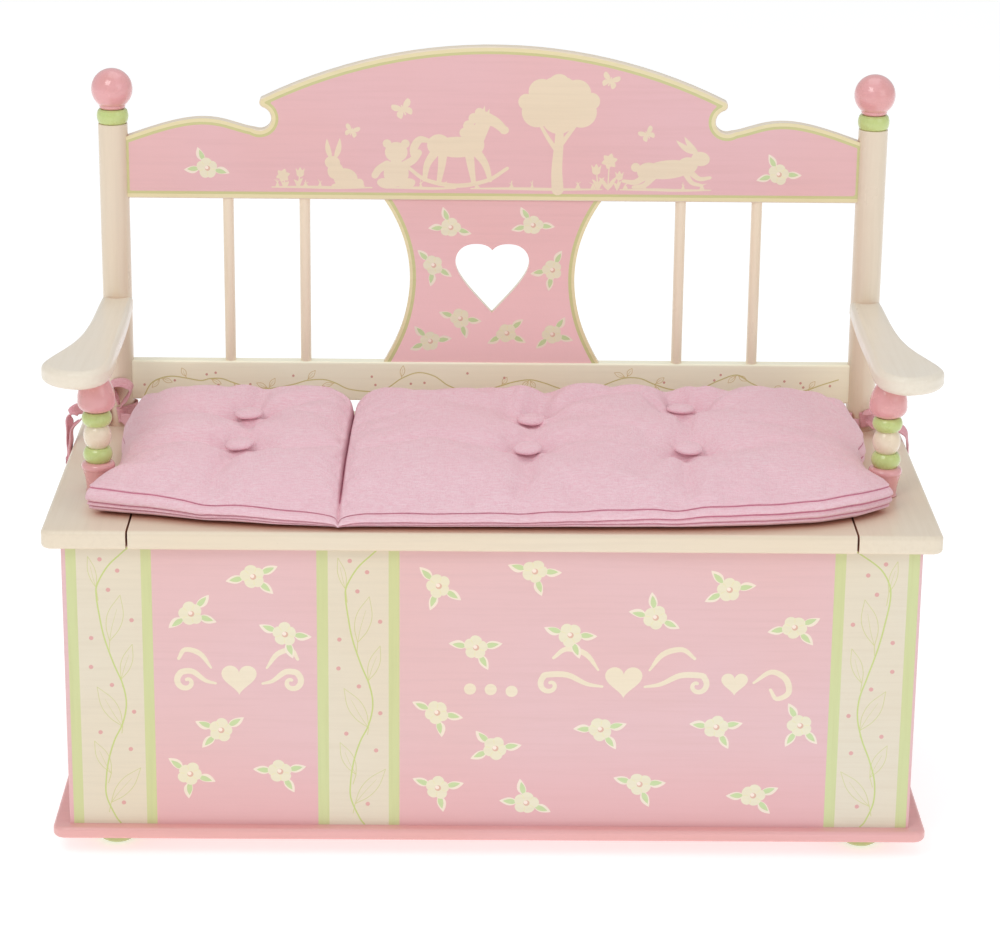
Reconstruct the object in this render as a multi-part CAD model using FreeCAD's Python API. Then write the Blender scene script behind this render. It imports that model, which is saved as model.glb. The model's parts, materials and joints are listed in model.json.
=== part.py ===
import FreeCAD, Part
import math
import os

# Wooden toy box: a chest with a lift-up seat lid, arms, a painted backrest and a tied cushion.
# Millimetres, +Z up, +X to the sitter's left (viewer's right), -Y is the front.
# Origin: centre of the plan, on the floor.

os.makedirs("parts", exist_ok=True)
V = FreeCAD.Vector

# ---------------------------------------------------------------- driving dimensions
SEAT_Z = 328.0          # top face of the seat
SEAT_T = 18.0           # seat boards and lid
SEAT_HW = 416.0         # half width of the seat
SEAT_HD = 190.0         # half depth of the seat
LID_HW = 335.6          # half width of the lid
SIDE_IN = 337.6         # inner edge of the fixed side boards
HINGE_Y = 88.0          # hinge line
HINGE_Z = SEAT_Z        # pin centre height
LID_OPEN_DEG = 70.0     # stop of the lid stays

FOOT_H = 18.5
FOOT_R = 20.0
FOOT_X, FOOT_Y = 357.5, 142.0
BASE_T = 11.5
BASE_HW, BASE_HD = 414.5, 189.0
BOX_Z0 = FOOT_H + BASE_T
BOX_Z1 = SEAT_Z - SEAT_T
BOX_HW, BOX_HD = 398.7, 178.5
PANEL_T = 12.0

POST_X, POST_Y, POST_R = 375.5, 144.0, 14.5
POST_TOP = SEAT_Z + 309.4
COLLAR_H = 14.4
BALL_R = 20.3
BALL_Z = SEAT_Z + 343.5

RAIL_Y0, RAIL_Y1 = 138.0, 150.0
RAIL_END = 366.0
RAIL_BOT = SEAT_Z + 235.0
LOW_Y0, LOW_Y1 = 138.0, 152.0
LOW_Z0, LOW_Z1 = SEAT_Z + 26.4, SEAT_Z + 67.0
SPLAT_Y0, SPLAT_Y1 = 140.0, 149.0
TENON = 6.0
SPINDLE_R = 5.35
SPINDLE_X = (187.0, 263.0)
SPINDLE_Y = 144.5

ARM_Z0, ARM_Z1 = SEAT_Z + 116.0, SEAT_Z + 134.0
SUP_X, SUP_Y = 374.5, -69.4

LEDGE_X0, LEDGE_X1 = 330.0, 352.0
LEDGE_Z0 = 270.0
STAY_R0, STAY_R1 = 141.0, 155.0
STAY_X0, STAY_X1 = 318.5, 321.5
GUIDE_DEG = 18.0
STAY_HEAD_DEG, STAY_TAIL_DEG = 7.6, 99.0

CUSH_HW = 353.0
CLR = 0.05              # radial clearance round hidden screws, rods and dowels


# ---------------------------------------------------------------- helpers
def box(x0, x1, y0, y1, z0, z1):
    return Part.makeBox(x1 - x0, y1 - y0, z1 - z0, V(x0, y0, z0))


def cylz(x, y, z0, z1, r):
    return Part.makeCylinder(r, z1 - z0, V(x, y, z0), V(0, 0, 1))


def cylx(x0, x1, y, z, r):
    return Part.makeCylinder(r, x1 - x0, V(x0, y, z), V(1, 0, 0))


def mirrored(s):
    return s.mirror(V(0, 0, 0), V(1, 0, 0))


def fillet(s, r, pick):
    edges = [e for e in s.Edges if pick(e)]
    try:
        f = s.makeFillet(r, edges)
        if f.isValid() and abs(f.Volume) > 0.5 * abs(s.Volume):
            return f
    except Exception:
        pass
    print("fillet skipped", r, len(edges))
    return s


def vertical(e):
    a, b = e.Vertexes[0].Point, e.Vertexes[-1].Point
    return abs(a.x - b.x) < 1e-6 and abs(a.y - b.y) < 1e-6 and abs(a.z - b.z) > 1


def at_z(e, *zs):
    bb = e.BoundBox
    return bb.ZLength < 1e-4 and any(abs(bb.ZMin - z) < 1e-3 for z in zs)


def turned(x, y, start, segs, end_z):
    # start: (r, z); segs: (r, z) for a line, (rm, zm, r, z) for an arc through the middle point
    pts = [V(start[0], 0, start[1])]
    edges = []
    if start[0] > 1e-6:
        edges.append(Part.LineSegment(V(0, 0, start[1]), pts[0]).toShape())
    cur = pts[0]
    for s in segs:
        if len(s) == 2:
            nxt = V(s[0], 0, s[1])
            edges.append(Part.LineSegment(cur, nxt).toShape())
        else:
            nxt = V(s[2], 0, s[3])
            edges.append(Part.Arc(cur, V(s[0], 0, s[1]), nxt).toShape())
        cur = nxt
    if cur.x > 1e-6:
        edges.append(Part.LineSegment(cur, V(0, 0, end_z)).toShape())
        cur = V(0, 0, end_z)
    edges.append(Part.LineSegment(cur, V(0, 0, start[1])).toShape())
    face = Part.Face(Part.Wire(edges))
    sol = face.revolve(V(0, 0, 0), V(0, 0, 1), 360)
    sol.translate(V(x, y, 0))
    return sol


def screw(p, d, length, r, rh, grow=0.0):
    # countersunk wood screw: head face at p, pointing along the unit vector d
    p, d = V(*p), V(*d)
    hr, sr = rh + grow, r + grow
    head_h = rh - r
    head = Part.makeCone(hr, sr, head_h, p, d)
    cap = Part.makeCylinder(hr, 0.4 + grow, p - d * (0.4 + grow), d)
    shank = Part.makeCylinder(sr, length - head_h - 3.0 + grow, p + d * head_h, d)
    tip = Part.makeCone(sr, 0.25, 3.0, p + d * (length - 3.0 + grow), d)
    out = head.fuse([cap, shank, tip]) if grow == 0 else head.fuse([cap, shank, tip])
    return out.removeSplitter()


def screw_group(items, parts):
    # items: (p, d, length, r, rh); cuts every part given, returns the compound of screws
    sols, cuts = [], []
    for it in items:
        sols.append(screw(*it))
        cuts.append(screw(*it, grow=CLR))
    out = [p.cut(cuts) for p in parts]
    return Part.makeCompound(sols), out


def save(name, shape):
    sols = shape.Solids
    if len(sols) == 1:
        shape = sols[0]
    else:
        shape = Part.makeCompound(sols)
    if not shape.isValid():
        print("NOT VALID", name)
    if any(s.Volume <= 0 for s in sols) or not sols:
        print("BAD VOLUME", name)
    shape.exportStep("parts/" + name + ".step")
    bb = shape.BoundBox
    print("%-26s n=%d  x %.1f %.1f  y %.1f %.1f  z %.1f %.1f" % (
        name, len(sols), bb.XMin, bb.XMax, bb.YMin, bb.YMax, bb.ZMin, bb.ZMax))


# ---------------------------------------------------------------- chest
base = box(-BASE_HW, BASE_HW, -BASE_HD, BASE_HD, FOOT_H, BOX_Z0)
base = fillet(base, 12.0, vertical)
base = fillet(base, 3.6, lambda e: at_z(e, FOOT_H, BOX_Z0))

feet = []
for sx in (-1, 1):
    for sy in (-1, 1):
        f = turned(sx * FOOT_X, sy * FOOT_Y, (13.0, 0.0),
                   [(14.0, 0.3, 14.8, 1.0), (FOOT_R, 8.6, 17.4, 15.2), (16.2, 17.6, 14.6, FOOT_H)], FOOT_H)
        feet.append(f)

front = box(-BOX_HW, BOX_HW, -BOX_HD, -BOX_HD + PANEL_T, BOX_Z0, BOX_Z1)
front = fillet(front, 1.2, lambda e: vertical(e) and abs(e.BoundBox.YMin + BOX_HD) < 1e-3)
back = box(-BOX_HW, BOX_HW, BOX_HD - PANEL_T, BOX_HD, BOX_Z0, BOX_Z1)
back = fillet(back, 1.2, lambda e: vertical(e) and abs(e.BoundBox.YMin - BOX_HD) < 1e-3)
side_l = box(-BOX_HW, -BOX_HW + PANEL_T, -BOX_HD + PANEL_T, BOX_HD - PANEL_T, BOX_Z0, BOX_Z1)
side_r = mirrored(side_l)
IN_X, IN_Y = BOX_HW - PANEL_T, BOX_HD - PANEL_T

cleats = []
for sx in (-1, 1):
    for sy in (-1, 1):
        x0, x1 = sorted((sx * IN_X, sx * (IN_X - 18)))
        y0, y1 = sorted((sy * IN_Y, sy * (IN_Y - 18)))
        cleats.append(box(x0, x1, y0, y1, BOX_Z0, BOX_Z1))
cleats = Part.makeCompound(cleats)

ledge_r = box(LEDGE_X0, LEDGE_X1, -IN_Y, IN_Y, LEDGE_Z0, BOX_Z1)
ledge_l = mirrored(ledge_r)

# ---------------------------------------------------------------- seat
seat_r = box(SIDE_IN, SEAT_HW, -SEAT_HD, SEAT_HD, BOX_Z1, SEAT_Z)
seat_r = fillet(seat_r, 10.0, lambda e: vertical(e) and e.BoundBox.XMin > SEAT_HW - 1)
seat_r = fillet(seat_r, 4.0, lambda e: at_z(e, BOX_Z1, SEAT_Z) and not (
    abs(e.BoundBox.XMin - SIDE_IN) < 1e-3 and abs(e.BoundBox.XMax - SIDE_IN) < 1e-3))
seat_r = seat_r.cut(cylz(POST_X, POST_Y, BOX_Z1 - 1, SEAT_Z + 1, 8.0 + CLR))
seat_l = mirrored(seat_r)

lid = box(-LID_HW, LID_HW, -SEAT_HD, HINGE_Y - 3.0, BOX_Z1, SEAT_Z)
lid = fillet(lid, 4.0, lambda e: at_z(e, BOX_Z1, SEAT_Z) and e.BoundBox.YMax < -SEAT_HD + 1)
rear = box(-SIDE_IN, SIDE_IN, HINGE_Y + 3.0, SEAT_HD, BOX_Z1, SEAT_Z)
rear = fillet(rear, 4.0, lambda e: at_z(e, BOX_Z1, SEAT_Z) and e.BoundBox.YMin > SEAT_HD - 1)

battens = Part.makeCompound([box(x - 22, x + 22, -150.0, 70.0, BOX_Z1 - 16, BOX_Z1) for x in (-215.0, 215.0)])

# ---------------------------------------------------------------- hinge
HINGE_HW = 330.0
LEAF_T, LEAF_W = 1.2, 20.0
KN_R, PIN_R, KN_BORE = 2.6, 1.2, 1.25
N_KN = 12
leaf_z0 = SEAT_Z - LEAF_T
lid = lid.cut(box(-HINGE_HW - 0.3, HINGE_HW + 0.3, HINGE_Y - LEAF_W - 0.2, HINGE_Y + 1, leaf_z0, SEAT_Z + 1))
rear = rear.cut(box(-HINGE_HW - 0.3, HINGE_HW + 0.3, HINGE_Y - 1, HINGE_Y + LEAF_W + 0.2, leaf_z0, SEAT_Z + 1))


def leaf(sgn, parity):
    y0, y1 = sorted((HINGE_Y + sgn * 1.6, HINGE_Y + sgn * LEAF_W))
    out = box(-HINGE_HW, HINGE_HW, y0, y1, leaf_z0, SEAT_Z)
    pitch = 2 * HINGE_HW / N_KN
    adds, gaps = [], []
    for i in range(N_KN):
        x0 = -HINGE_HW + i * pitch + (0.2 if i else 0.0)
        x1 = -HINGE_HW + (i + 1) * pitch - (0.2 if i < N_KN - 1 else 0.0)
        if i % 2 == parity:
            adds.append(cylx(x0, x1, HINGE_Y, HINGE_Z, KN_R))
            ya, yb = sorted((HINGE_Y, HINGE_Y + sgn * 2.2))
            adds.append(box(x0, x1, ya, yb, leaf_z0, SEAT_Z))
        else:
            ya, yb = sorted((HINGE_Y, HINGE_Y + sgn * 3.0))
            gaps.append(box(x0 - 0.2, x1 + 0.2, ya, yb, leaf_z0 - 3, SEAT_Z + 3))
    out = out.cut(gaps).fuse(adds)
    out = out.cut(cylx(-HINGE_HW - 1, HINGE_HW + 1, HINGE_Y, HINGE_Z, KN_BORE))
    return out.removeSplitter()


leaf_rear = leaf(+1, 0)
leaf_lid = leaf(-1, 1)
pin = cylx(-HINGE_HW, HINGE_HW, HINGE_Y, HINGE_Z, PIN_R)

HX = [-300, -215, -130, -45, 45, 130, 215, 300]
scr_rear, (leaf_rear, rear) = screw_group(
    [((x, HINGE_Y + 12.5, SEAT_Z - 0.4), (0, 0, -1), 14.0, 1.3, 2.4) for x in HX], [leaf_rear, rear])
scr_lid, (leaf_lid, lid) = screw_group(
    [((x, HINGE_Y - 12.5, SEAT_Z - 0.4), (0, 0, -1), 14.0, 1.3, 2.4) for x in HX], [leaf_lid, lid])

# ---------------------------------------------------------------- lid stays (arc bars about the hinge line)


def ring(x0, x1, r0, r1):
    return cylx(x0, x1, HINGE_Y, HINGE_Z, r1).cut(cylx(x0 - 1, x1 + 1, HINGE_Y, HINGE_Z, r0))


def sector(x0, x1, a0, a1, r=400.0):
    # a is measured from -Y downwards, in degrees
    pts = [V(x0, HINGE_Y, HINGE_Z)]
    n = 12
    for i in range(n + 1):
        a = math.radians(a0 + (a1 - a0) * i / n)
        pts.append(V(x0, HINGE_Y - r * math.cos(a), HINGE_Z - r * math.sin(a)))
    pts.append(pts[0])
    return Part.Face(Part.makePolygon(pts)).extrude(V(x1 - x0, 0, 0))


bar = ring(STAY_X0, STAY_X1, STAY_R0, STAY_R1).common(sector(STAY_X0 - 1, STAY_X1 + 1, STAY_HEAD_DEG - 3, STAY_TAIL_DEG))
bar = bar.cut(box(STAY_X0 - 5, STAY_X1 + 5, -300, HINGE_Y, BOX_Z1, SEAT_Z + 50))
ym = HINGE_Y - math.sqrt(148.0 ** 2 - 18.0 ** 2)
flange = box(STAY_X0 - 16, STAY_X1, ym - 17, ym + 17, BOX_Z1 - 3.0, BOX_Z1)
stay_r = bar.fuse(flange).removeSplitter()

ga = math.radians(GUIDE_DEG)
gy, gz = HINGE_Y - 148 * math.cos(ga), HINGE_Z - 148 * math.sin(ga)
guide_r = box(STAY_X0 - 4.0, LEDGE_X0, gy - 16, gy + 16, gz - 9, gz + 9)
guide_r = guide_r.cut(ring(STAY_X0 - 0.35, STAY_X1 + 0.35, STAY_R0 - 0.4, STAY_R1 + 0.4))
guide_r = fillet(guide_r, 2.0, lambda e: abs(e.BoundBox.XLength) > 3 and e.BoundBox.YLength < 1e-3
                 and e.BoundBox.ZLength < 1e-3 and e.BoundBox.XMin < STAY_X0)

items = []
for dy in (-10.0, 10.0):
    items.append(((STAY_X0 - 9.5, ym + dy, BOX_Z1 - 3.0 + 0.4), (0, 0, 1), 14.0, 1.3, 2.4))
stay_scr_r, (stay_r, lid) = screw_group(items, [stay_r, lid])
lid = lid.cut([mirrored(screw(*it, grow=CLR)) for it in items])
stay_l, stay_scr_l = mirrored(stay_r), mirrored(stay_scr_r)

items = [((STAY_X1 + 2.5, gy + dy, gz), (1, 0, 0), 17.0, 1.3, 2.4) for dy in (-12.9, 12.9)]
cuts = []
for it in items:
    cuts.append(screw(*it, grow=CLR))
    p = it[0]
    cuts.append(Part.makeCylinder(2.5, 14.0, V(p[0] - 14.0, p[1], p[2]), V(1, 0, 0)))
guide_scr_r = Part.makeCompound([screw(*it) for it in items])
guide_r = guide_r.cut(cuts)
ledge_r = ledge_r.cut(cuts)
guide_l, guide_scr_l, ledge_l = mirrored(guide_r), mirrored(guide_scr_r), mirrored(ledge_r)

# ---------------------------------------------------------------- backrest


def rail_outline():
    z = SEAT_Z
    right = [(RAIL_END, 295.4), (360.7, 297.3), (340.0, 304.6), (316.2, 311.6), (300.0, 314.8), (285.0, 315.8),
             (268.0, 313.9), (254.1, 310.1), (243.0, 306.9), (234.9, 305.4)]

    def v(p, s=1):
        return V(s * p[0], RAIL_Y0, z + p[1])
    notch = [(234.9, 305.4), (219.3, 314.8), (227.0, 327.0)]
    tip = [(227.0, 327.0), (230.6, 331.0), (229.0, 336.0)]
    edges = [Part.LineSegment(v((-RAIL_END, 235.0)), v((RAIL_END, 235.0))).toShape(),
             Part.LineSegment(v((RAIL_END, 235.0)), v(right[0])).toShape()]
    sp = Part.BSplineCurve()
    sp.interpolate([v(p) for p in right])
    edges.append(sp.toShape())
    edges.append(Part.Arc(*[v(p) for p in notch]).toShape())
    edges.append(Part.Arc(*[v(p) for p in tip]).toShape())
    edges.append(Part.Arc(v((229.0, 336.0)), v((0, 389.4)), v((-229.0, 336.0))).toShape())
    edges.append(Part.Arc(*[v(p, -1) for p in tip[::-1]]).toShape())
    edges.append(Part.Arc(*[v(p, -1) for p in notch[::-1]]).toShape())
    sp = Part.BSplineCurve()
    sp.interpolate([v(p, -1) for p in right[::-1]])
    edges.append(sp.toShape())
    edges.append(Part.LineSegment(v(right[0], -1), v((-RAIL_END, 235.0))).toShape())
    return Part.Wire(edges)


top_rail = Part.Face(rail_outline()).extrude(V(0, RAIL_Y1 - RAIL_Y0, 0))
top_rail = fillet(top_rail, 1.2, lambda e: e.BoundBox.YLength < 1e-4 and abs(e.BoundBox.YMin - RAIL_Y0) < 1e-3
                  and e.BoundBox.ZLength > 2 and e.BoundBox.XMin > -360 and e.BoundBox.XMax < 360
                  or e.BoundBox.YLength < 1e-4 and abs(e.BoundBox.YMin - RAIL_Y0) < 1e-3 and e.BoundBox.XLength > 400)

low_rail = box(-RAIL_END, RAIL_END, LOW_Y0, LOW_Y1, LOW_Z0, LOW_Z1)
low_rail = fillet(low_rail, 2.0, lambda e: e.BoundBox.XLength > 100)


def splat_wire():
    z = SEAT_Z

    def v(x, zz):
        return V(x, SPLAT_Y0, z + zz)
    side = [(108.0, 235.0), (95.0, 212.0), (85.6, 184.0), (82.4, 158.0), (84.2, 132.0), (91.0, 104.0), (101.0, 81.0), (108.5, 67.0)]
    e = [Part.LineSegment(v(-108.0, 235.0), v(-108.0, 235.0 + TENON)).toShape(),
         Part.LineSegment(v(-108.0, 235.0 + TENON), v(108.0, 235.0 + TENON)).toShape(),
         Part.LineSegment(v(108.0, 235.0 + TENON), v(108.0, 235.0)).toShape()]
    sp = Part.BSplineCurve()
    sp.interpolate([v(*p) for p in side])
    e.append(sp.toShape())
    e.append(Part.LineSegment(v(108.5, 67.0), v(108.5, 67.0 - TENON)).toShape())
    e.append(Part.LineSegment(v(108.5, 67.0 - TENON), v(-108.5, 67.0 - TENON)).toShape())
    e.append(Part.LineSegment(v(-108.5, 67.0 - TENON), v(-108.5, 67.0)).toShape())
    sp = Part.BSplineCurve()
    sp.interpolate([v(-p[0], p[1]) for p in side[::-1]])
    e.append(sp.toShape())
    return Part.Wire(e)


def heart_wire():
    z = SEAT_Z
    segs = [[(0, 183.6), (4.5, 189.4), (11.0, 190.4), (18.5, 190.0)],
            [(18.5, 190.0), (29.5, 189.3), (36.8, 182.0), (36.8, 171.8)],
            [(36.8, 171.8), (36.8, 157.0), (17.0, 138.0), (0, 118.9)]]
    edges = []
    for sx in (1, -1):
        for s in segs:
            b = Part.BezierCurve()
            b.setPoles([V(sx * p[0], SPLAT_Y0 - 1, z + p[1]) for p in s])
            edges.append(b.toShape())
    return Part.Wire(Part.__sortEdges__(edges))


splat = Part.Face(splat_wire()).extrude(V(0, SPLAT_Y1 - SPLAT_Y0, 0))
splat = splat.cut(Part.Face(heart_wire()).extrude(V(0, SPLAT_Y1 - SPLAT_Y0 + 2, 0)))
top_rail = top_rail.cut(box(-108.0 - CLR, 108.0 + CLR, SPLAT_Y0 - CLR, SPLAT_Y1 + CLR, RAIL_BOT - 1, RAIL_BOT + TENON + CLR))
low_rail = low_rail.cut(box(-108.5 - CLR, 108.5 + CLR, SPLAT_Y0 - CLR, SPLAT_Y1 + CLR, LOW_Z1 - TENON - CLR, LOW_Z1 + 1))

spindles = {}
for name, x in (("left_outer", -SPINDLE_X[1]), ("left_inner", -SPINDLE_X[0]), ("right_inner", SPINDLE_X[0]), ("right_outer", SPINDLE_X[1])):
    s = cylz(x, SPINDLE_Y, LOW_Z1 - 8, RAIL_BOT + 8, SPINDLE_R - 1.2)
    s = s.fuse(cylz(x, SPINDLE_Y, LOW_Z1, RAIL_BOT, SPINDLE_R)).removeSplitter()
    spindles[name + "_spindle"] = s
    hole = cylz(x, SPINDLE_Y, LOW_Z1 - 8 - CLR, RAIL_BOT + 8 + CLR, SPINDLE_R - 1.2 + CLR)
    top_rail = top_rail.cut(hole)
    low_rail = low_rail.cut(hole)

post = cylz(POST_X, POST_Y, SEAT_Z, POST_TOP, POST_R)
post = fillet(post, 1.0, lambda e: at_z(e, POST_TOP))
post = post.fuse(cylz(POST_X, POST_Y, BOX_Z1, SEAT_Z, 8.0)).removeSplitter()
post = post.cut([top_rail, low_rail])
post = post.cut(cylz(POST_X, POST_Y, POST_TOP - 14 - CLR, POST_TOP + 1, 5.0 + CLR))

collar = turned(POST_X, POST_Y, (13.0, POST_TOP),
                [(14.4, POST_TOP + 1.4), (15.6, POST_TOP + COLLAR_H / 2, 14.4, POST_TOP + COLLAR_H - 1.4), (13.0, POST_TOP + COLLAR_H)],
                POST_TOP + COLLAR_H)
collar = collar.cut(cylz(POST_X, POST_Y, POST_TOP - 1, POST_TOP + COLLAR_H + 1, 5.0 + CLR))

zc = POST_TOP + COLLAR_H
NECK_R = BALL_R * math.cos(math.radians(51))
NECK_Z = BALL_Z - BALL_R * math.sin(math.radians(51))
finial = turned(POST_X, POST_Y, (5.0, POST_TOP - 14),
                [(5.0, zc), (10.6, zc), (12.2, zc + 1.2, NECK_R, NECK_Z),
                 (BALL_R, BALL_Z, 0, BALL_Z + BALL_R)], BALL_Z + BALL_R)

# ---------------------------------------------------------------- arms
yo = 8.6


def arm_outline():
    pts_out = [(391.0, 136.0), (392.0, 90.0), (394.2, 20.0), (400.0, -25.0), (406.4, -50.0), (414.6, -75.0), (420.2, -94.0)]
    tipc = [(420.2, -94.0), (421.6, -106.0), (417.0, -119.0), (407.0, -130.5), (393.0, -137.2), (381.0, -138.2), (369.0, -132.0),
            (360.5, -120.0), (357.2, -106.0)]
    inner = [(357.2, -106.0), (356.8, -60.0), (357.0, 20.0), (358.5, 90.0), (360.0, 136.0)]

    def v(p):
        return V(p[0], p[1] + yo, ARM_Z0)
    e = []
    a = Part.BSplineCurve()
    a.interpolate([v(p) for p in pts_out + tipc[1:] + inner[1:]])
    e.append(a.toShape())
    e.append(Part.LineSegment(v(inner[-1]), v(pts_out[0])).toShape())
    return Part.Wire(e)


arm_r = Part.Face(arm_outline()).extrude(V(0, 0, ARM_Z1 - ARM_Z0))
arm_r = fillet(arm_r, 6.0, lambda e: at_z(e, ARM_Z0, ARM_Z1) and e.BoundBox.YLength > 50)
arm_r = arm_r.cut([cylz(POST_X, POST_Y, ARM_Z0 - 5, ARM_Z1 + 5, POST_R), box(300, 450, POST_Y - 3.0, POST_Y + 40, ARM_Z0 - 5, ARM_Z1 + 5)])
arm_r = Part.makeCompound([max(arm_r.Solids, key=lambda s: s.Volume)])
# dowel from the post into the end of the arm
dow_y0, dow_y1 = POST_Y - POST_R - 16.0, POST_Y - 4.0
arm_dowel_r = Part.makeCylinder(4.0, dow_y1 - dow_y0, V(POST_X, dow_y0, (ARM_Z0 + ARM_Z1) / 2), V(0, 1, 0))
dcut = Part.makeCylinder(4.0 + CLR, dow_y1 - dow_y0 + 0.4, V(POST_X, dow_y0 - 0.2, (ARM_Z0 + ARM_Z1) / 2), V(0, 1, 0))
arm_r = arm_r.cut(dcut)
post = post.cut(dcut)

# turned supports: five pieces threaded on one rod
ROD_R = 3.0
sup = {}
z = SEAT_Z
sup["support_base"] = turned(SUP_X, SUP_Y, (11.2, z), [(12.0, z + 0.5, 11.4, z + 2.0), (12.6, z + 12.0, 15.0, z + 21.5),
                                                   (15.9, z + 25.2, 13.8, z + 28.2), (12.0, z + 29.0)], z + 29.0)
sup["support_lower_ring"] = turned(SUP_X, SUP_Y, (11.0, z + 29.0), [(14.0, z + 36.0, 11.0, z + 43.0)], z + 43.0)
sup["support_bead"] = turned(SUP_X, SUP_Y, (9.0, z + 43.0), [(13.2, z + 54.2, 9.0, z + 65.4)], z + 65.4)
sup["support_upper_ring"] = turned(SUP_X, SUP_Y, (11.4, z + 65.4), [(14.4, z + 71.9, 11.4, z + 78.4)], z + 78.4)
sup["support_vase"] = turned(SUP_X, SUP_Y, (10.2, z + 78.4), [(11.6, z + 79.2), (16.2, z + 82.6, 17.9, z + 90.0),
                                                           (16.6, z + 100.0, 12.6, z + 108.5), (11.4, z + 112.0, 11.6, z + 116.0)], z + 116.0)
rod = cylz(SUP_X, SUP_Y, BOX_Z1 + 4.0, ARM_Z0 + 10.0, ROD_R)
rod_cut = cylz(SUP_X, SUP_Y, BOX_Z1 + 4.0 - CLR, ARM_Z0 + 10.0 + CLR, ROD_R + CLR)
for k in sup:
    sup[k] = sup[k].cut(rod_cut)
arm_r = arm_r.cut(rod_cut)
seat_r = seat_r.cut(rod_cut)
seat_l = mirrored(seat_r)

# ---------------------------------------------------------------- hidden fixings
# seat dowels between the side boards and the side panels
dow = []
for sx in (-1, 1):
    for y in (-120.0, 0.0, 110.0):
        dow.append((sx * (BOX_HW - PANEL_T / 2), y))
dowels = Part.makeCompound([cylz(x, y, BOX_Z1 - 14, BOX_Z1 + 10, 3.0) for x, y in dow])
dcuts = [cylz(x, y, BOX_Z1 - 14 - CLR, BOX_Z1 + 10 + CLR, 3.0 + CLR) for x, y in dow]
seat_r, seat_l = seat_r.cut(dcuts), seat_l.cut(dcuts)
side_r, side_l = side_r.cut(dcuts), side_l.cut(dcuts)

# ledge screws up into the side seat boards, and into the rear board
items = []
for sx in (-1, 1):
    for y in (-130.0, 20.0, 60.0, 140.0):
        items.append(((sx * 345.5, y, LEDGE_Z0 + 20.4), (0, 0, 1), 32.0, 1.6, 3.0))
cuts = [screw(*it, grow=CLR) for it in items]
cuts += [cylz(it[0][0], it[0][1], LEDGE_Z0 - 1, LEDGE_Z0 + 20.4, 3.1) for it in items]
ledge_scr = Part.makeCompound([screw(*it) for it in items])
ledge_r, ledge_l, seat_r, seat_l = ledge_r.cut(cuts), ledge_l.cut(cuts), seat_r.cut(cuts), seat_l.cut(cuts)

# post screws up through the side boards into the tenons, heads flush under the boards
items = [((sx * POST_X, POST_Y, BOX_Z1 + 0.4), (0, 0, 1), 40.0, 2.0, 3.8) for sx in (-1, 1)]
post_scr = Part.makeCompound([screw(*it) for it in items])
pc = screw(*items[1], grow=CLR)
post = post.cut(pc)

# foot screws up through the feet into the base
items = [((sx * FOOT_X, sy * FOOT_Y, 2.4), (0, 0, 1), 24.0, 2.0, 3.8) for sx in (-1, 1) for sy in (-1, 1)]
foot_scr = Part.makeCompound([screw(*it) for it in items])
cuts = [screw(*it, grow=CLR) for it in items]
recess = [cylz(it[0][0], it[0][1], -1, 2.2, 4.4) for it in items]
feet = [f.cut(cuts + recess) for f in feet]
base = base.cut(cuts)

# base screws up through the base into the corner cleats
items = [((sx * (IN_X - 9), sy * (IN_Y - 9), FOOT_H + 0.4), (0, 0, 1), 36.0, 2.0, 3.8) for sx in (-1, 1) for sy in (-1, 1)]
base_scr = Part.makeCompound([screw(*it) for it in items])
cuts = [screw(*it, grow=CLR) for it in items]
base, cleats = base.cut(cuts), cleats.cut(cuts)

# back panel, front panel: screws from inside through the cleats
items = []
for sx in (-1, 1):
    for sy in (-1, 1):
        for zz in (90.0, 240.0):
            items.append(((sx * (IN_X - 9), sy * (IN_Y - 18 + 0.4), zz), (0, sy, 0), 25.0, 1.6, 3.0))
            items.append(((sx * (IN_X - 18 + 0.4), sy * (IN_Y - 9), zz + 30), (sx, 0, 0), 25.0, 1.6, 3.0))
cleat_scr = Part.makeCompound([screw(*it) for it in items])
cuts = [screw(*it, grow=CLR) for it in items]
cleats, front, back, side_r, side_l = [s.cut(cuts) for s in (cleats, front, back, side_r, side_l)]

# ---------------------------------------------------------------- cushion
prof = [(-181.0, 0.6), (-191.5, 5.0), (-194.5, 13.0), (-192.0, 22.0), (-182.0, 32.0), (-162.0, 41.0), (-128.0, 49.0), (-88.0, 53.0),
        (-30.0, 54.5), (20.0, 54.2), (52.0, 53.2), (65.0, 50.5), (73.0, 44.5), (76.5, 34.0), (76.8, 14.0), (74.0, 4.0), (69.0, 0.6)]
pts = [V(-CUSH_HW, p[0] + yo, SEAT_Z + p[1]) for p in prof]
sp = Part.BSplineCurve()
sp.interpolate(pts)
w = Part.Wire([sp.toShape(), Part.LineSegment(pts[-1], pts[0]).toShape()])
cush = Part.Face(w).extrude(V(2 * CUSH_HW, 0, 0))
endp = [(-CUSH_HW + 10, 0), (-CUSH_HW + 1.5, 8), (-CUSH_HW, 18), (-CUSH_HW + 2, 28), (-CUSH_HW + 12, 38), (-CUSH_HW + 32, 46), (-CUSH_HW + 70, 52), (-CUSH_HW + 120, 56)]
epts = [V(p[0], -260, SEAT_Z + p[1]) for p in endp]
mpts = [V(-p[0], -260, SEAT_Z + p[1]) for p in endp[::-1]]
s1 = Part.BSplineCurve()
s1.interpolate(epts)
s2 = Part.BSplineCurve()
s2.interpolate(mpts)
w = Part.Wire([s1.toShape(), Part.LineSegment(epts[-1], mpts[0]).toShape(), s2.toShape(), Part.LineSegment(mpts[-1], epts[0]).toShape()])
cush = cush.common(Part.Face(w).extrude(V(0, 500, 0)))

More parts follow.
